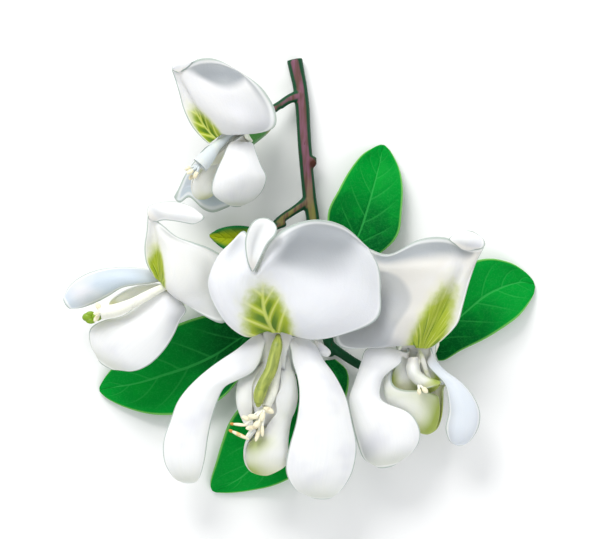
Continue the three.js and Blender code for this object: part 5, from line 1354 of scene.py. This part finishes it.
class SPRAY_OT_keels(Maker, bpy.types.Operator):
    """The boat-shaped keel of each flower"""

    bl_idname = "spray.keels"
    bl_label = "Keels"

    def make(self, sizes, colours):
        # Painted shade: grey spots along both lips of each keel.
        lip_shade_spots = [[0, 0.8, 0.1, 0.16, 0.3], [1, 0.8, 0.1, 0.16, 0.3]]
        pale, cream, clouds, tip = colours.lining, colours.keel, colours.keel_shade, colours.keel_tip
        # Painted light: the middle keel's lining is a paler copy of the keel's cream, lifting the shade in
        # its hollow.
        lining = petal("keel lining", colours, pale, cream, pale, (), None, soak=0.8)
        for flower in FLOWERS:
            bm = new_mesh()
            name = flower["name"]
            extent, greens = KEEL_RIM if flower is RIGHT else None, GREENS[name]
            skin = petal(f"{name} keel petal", colours, cream, clouds, tip, lip_shade_spots, extent, greens, soak=0.8)
            skins = [skin, lining] if flower is MIDDLE else [skin]
            add_sheet(bm, keel_sheet(flower), *GRIDS["keel"])
            if name in LININGS:
                add_sheet(bm, between(LININGS[name]), *GRIDS["lining"], material=len(skins) - 1)
            if flower is RIGHT:
                add_sheet(bm, between(INNER_CURL), *GRIDS["curl"])
            add_piece(f"keel_{name}_petal", bm, "keel_" + name, skins, sizes.petal_thickness)


def anthers_of(flower, root):
    """A flower's anthers in the middle flower's terms. The others' point away from the column's end."""
    if flower is MIDDLE:
        return flower["anthers"]
    ways = [Vector(spot) - root for spot in flower["anthers"]]
    return [[*spot, way.x, way.y, *size] for spot, way, size in zip(flower["anthers"], ways, ANTHER_SIZES)]


class SPRAY_OT_stamens(Maker, bpy.types.Operator):
    """The column of joined stamens, with its free threads and furrowed anthers"""

    bl_idname = "spray.stamens"
    bl_label = "Stamens"

    def make(self, sizes, colours):
        thread = sizes.thread_radius / MM
        warm = cream_skin("stamen thread", colours.thread, colours.petal_tip, 0.5)
        # Painted shade: the upper flower's column takes a cool grey copy of the thread colour.
        cool = cream_skin("cool stamen thread", colours.thread_shaded, colours.petal_tip, 0.5)
        anther = cream_skin("anther", colours.anther, colours.anther_stain, 0.5)
        ripe = cream_skin("ripe anther", colours.anther, colours.anther_ripe, 0.8)
        tip = cream_skin("anther tip", colours.anther_tip, colours.anther_stain, 0.3)
        for flower in FLOWERS:
            bm = new_mesh()
            inside = [[*place(flower, out, -COLUMN_OFF * flower["pistil_side"]), 0.42] for out in INSIDE]
            add_tube(bm, inside + flower["column"], 60, 24, mouth=0.9)
            root = Vector(flower["column"][-1][:3])
            for n, (x, y, z, way_x, way_y, half, length) in enumerate(anthers_of(flower, root)):
                spot = Vector((x, y, z))
                way = Vector((way_x, way_y, 0)).normalized()
                near = spot - way * length * 0.3
                middle = (root + near) / 2 + Vector((0, 0, 0.3))
                start = root + (root - middle) * 0.1
                add_tube(bm, [[*start, thread * 1.4], [*middle, thread], [*near, thread]], 14, 12)
                is_ripe = flower is MIDDLE and n < RIPE
                add_bead(bm, spot, way, half, length, material=2 if is_ripe else 1, cleft=0.45)
                if is_ripe:
                    add_bead(bm, spot + way * length * 0.46, way, half * 0.75, 0.6, material=3)
            node = f"stamens_{flower['name']}"
            skins = [cool if flower is UPPER else warm, anther, ripe, tip]
            add_piece(node + "_threads", bm, node, skins)


class SPRAY_OT_pistils(Maker, bpy.types.Operator):
    """The slender green pistil of each flower"""

    bl_idname = "spray.pistils"
    bl_label = "Pistils"

    def make(self, sizes, colours):
        green = green_skin("green pistil", colours.pistil_lime, colours.pistil_olive, colours.pistil_dark)
        pale = green_skin("pale pistil", colours.claw, colours.petal_tip, colours.pistil_lime)
        fresh = green_skin("green knob", colours.knob_green, colours.knob_green, colours.pistil_dark)
        for flower in FLOWERS:
            skin = pale if flower in (UPPER, RIGHT) else green
            bm = new_mesh()
            inside = [[*place(flower, out, PISTIL_OFF * flower["pistil_side"]), 0.3] for out in INSIDE]
            add_tube(bm, inside + flower["pistil"], 60, 20)
            end = Vector(flower["pistil"][-1][:3])
            way = direction(flower["pistil"], 1.0)
            knob = flower["knob"]
            add_bead(bm, end, way, knob * 0.9, knob * 2, material=1, cleft=0.3)
            for off, turned, half, length, cleft in LUMPS if flower is LEFT else ():
                add_bead(bm, end + Vector(off), turned or way, half, length, material=1, cleft=cleft)
            node = f"pistil_{flower['name']}"
            add_piece(node + "_style", bm, node, [skin, fresh if flower is LEFT else skin])


def add_light(name, spot, aim, width, power, colour):
    """A round soft light that shines from spot to aim."""
    lamp = bpy.data.lights.new(name, "AREA")
    lamp.shape = "DISK"
    lamp.size = width
    lamp.energy = power
    lamp.color = colour
    light = bpy.data.objects.new(name, lamp)
    light.location = spot
    light.rotation_euler = (Vector(aim) - Vector(spot)).to_track_quat("-Z", "Y").to_euler()
    bpy.context.scene.collection.objects.link(light)


class SPRAY_OT_stage(Maker, bpy.types.Operator):
    """The pale table, the soft light and the camera straight above"""

    bl_idname = "spray.stage"
    bl_label = "Stage"

    def make(self, sizes, colours):
        scene = bpy.context.scene
        bm = bmesh.new()
        bmesh.ops.create_grid(bm, x_segments=1, y_segments=1, size=1.5)
        mesh = bpy.data.meshes.new("table")
        bm.to_mesh(mesh)
        bm.free()
        paint = Paint("table top", colours.table, 0.85, shine=0.1)
        paint.tint(paint.noise(900, 3) * 0.03, (0.8, 0.8, 0.8))
        mesh.materials.append(paint.done())
        table = bpy.data.objects.new("table", mesh)
        scene.collection.objects.link(table)

        middle = metres(SPRAY_MIDDLE)
        aim = (0, 0, middle.z)
        add_light("key", (-0.14, 0.36, 0.30), aim, 0.28, 2.0, (1.0, 0.995, 0.98))
        add_light("fill", (0.20, -0.36, 0.34), aim, 0.40, 0.7, (0.97, 0.985, 1.0))
        world = bpy.data.worlds.new("soft room")
        world.use_nodes = True
        world.node_tree.nodes["Background"].inputs["Color"].default_value = (0.97, 0.985, 1.0, 1.0)
        world.node_tree.nodes["Background"].inputs["Strength"].default_value = 0.68
        scene.world = world
        scene.view_settings.view_transform = "Standard"

        camera = bpy.data.objects.new("camera", bpy.data.cameras.new("camera"))
        camera.location = (middle.x, middle.y, sizes.view_distance)
        camera.data.sensor_width = SENSOR
        camera.data.lens = SENSOR * (sizes.view_distance - middle.z) / sizes.view_width
        camera.data.clip_start = 0.1
        camera.data.clip_end = 10
        scene.collection.objects.link(camera)
        scene.camera = camera


MAKERS = [
    SPRAY_OT_twig,
    SPRAY_OT_leaflets,
    SPRAY_OT_calyces,
    SPRAY_OT_banners,
    SPRAY_OT_wings,
    SPRAY_OT_keels,
    SPRAY_OT_stamens,
    SPRAY_OT_pistils,
    SPRAY_OT_stage,
]


class SPRAY_PT_panel(bpy.types.Panel):
    """The sizes, the colours and a button for each group of pieces"""

    bl_label = "False acacia spray"
    bl_idname = "SPRAY_PT_panel"
    bl_space_type = "VIEW_3D"
    bl_region_type = "UI"
    bl_category = "Spray"

    def draw(self, context):
        for group in (context.scene.spray_sizes, context.scene.spray_colours):
            box = self.layout.box()
            for name in group.__annotations__:
                box.prop(group, name)
        for maker in MAKERS:
            self.layout.operator(maker.bl_idname)


CLASSES = [SpraySizes, SprayColours, *MAKERS, SPRAY_PT_panel]


def register():
    for one in CLASSES:
        bpy.utils.register_class(one)
    bpy.types.Scene.spray_sizes = PointerProperty(type=SpraySizes)
    bpy.types.Scene.spray_colours = PointerProperty(type=SprayColours)


def unregister():
    del bpy.types.Scene.spray_colours
    del bpy.types.Scene.spray_sizes
    for one in reversed(CLASSES):
        bpy.utils.unregister_class(one)


def main():
    register()
    bpy.ops.spray.twig()
    bpy.ops.spray.leaflets()
    bpy.ops.spray.calyces()
    bpy.ops.spray.banners()
    bpy.ops.spray.wings()
    bpy.ops.spray.keels()
    bpy.ops.spray.stamens()
    bpy.ops.spray.pistils()
    bpy.ops.spray.stage()


if __name__ == "__main__":
    main()
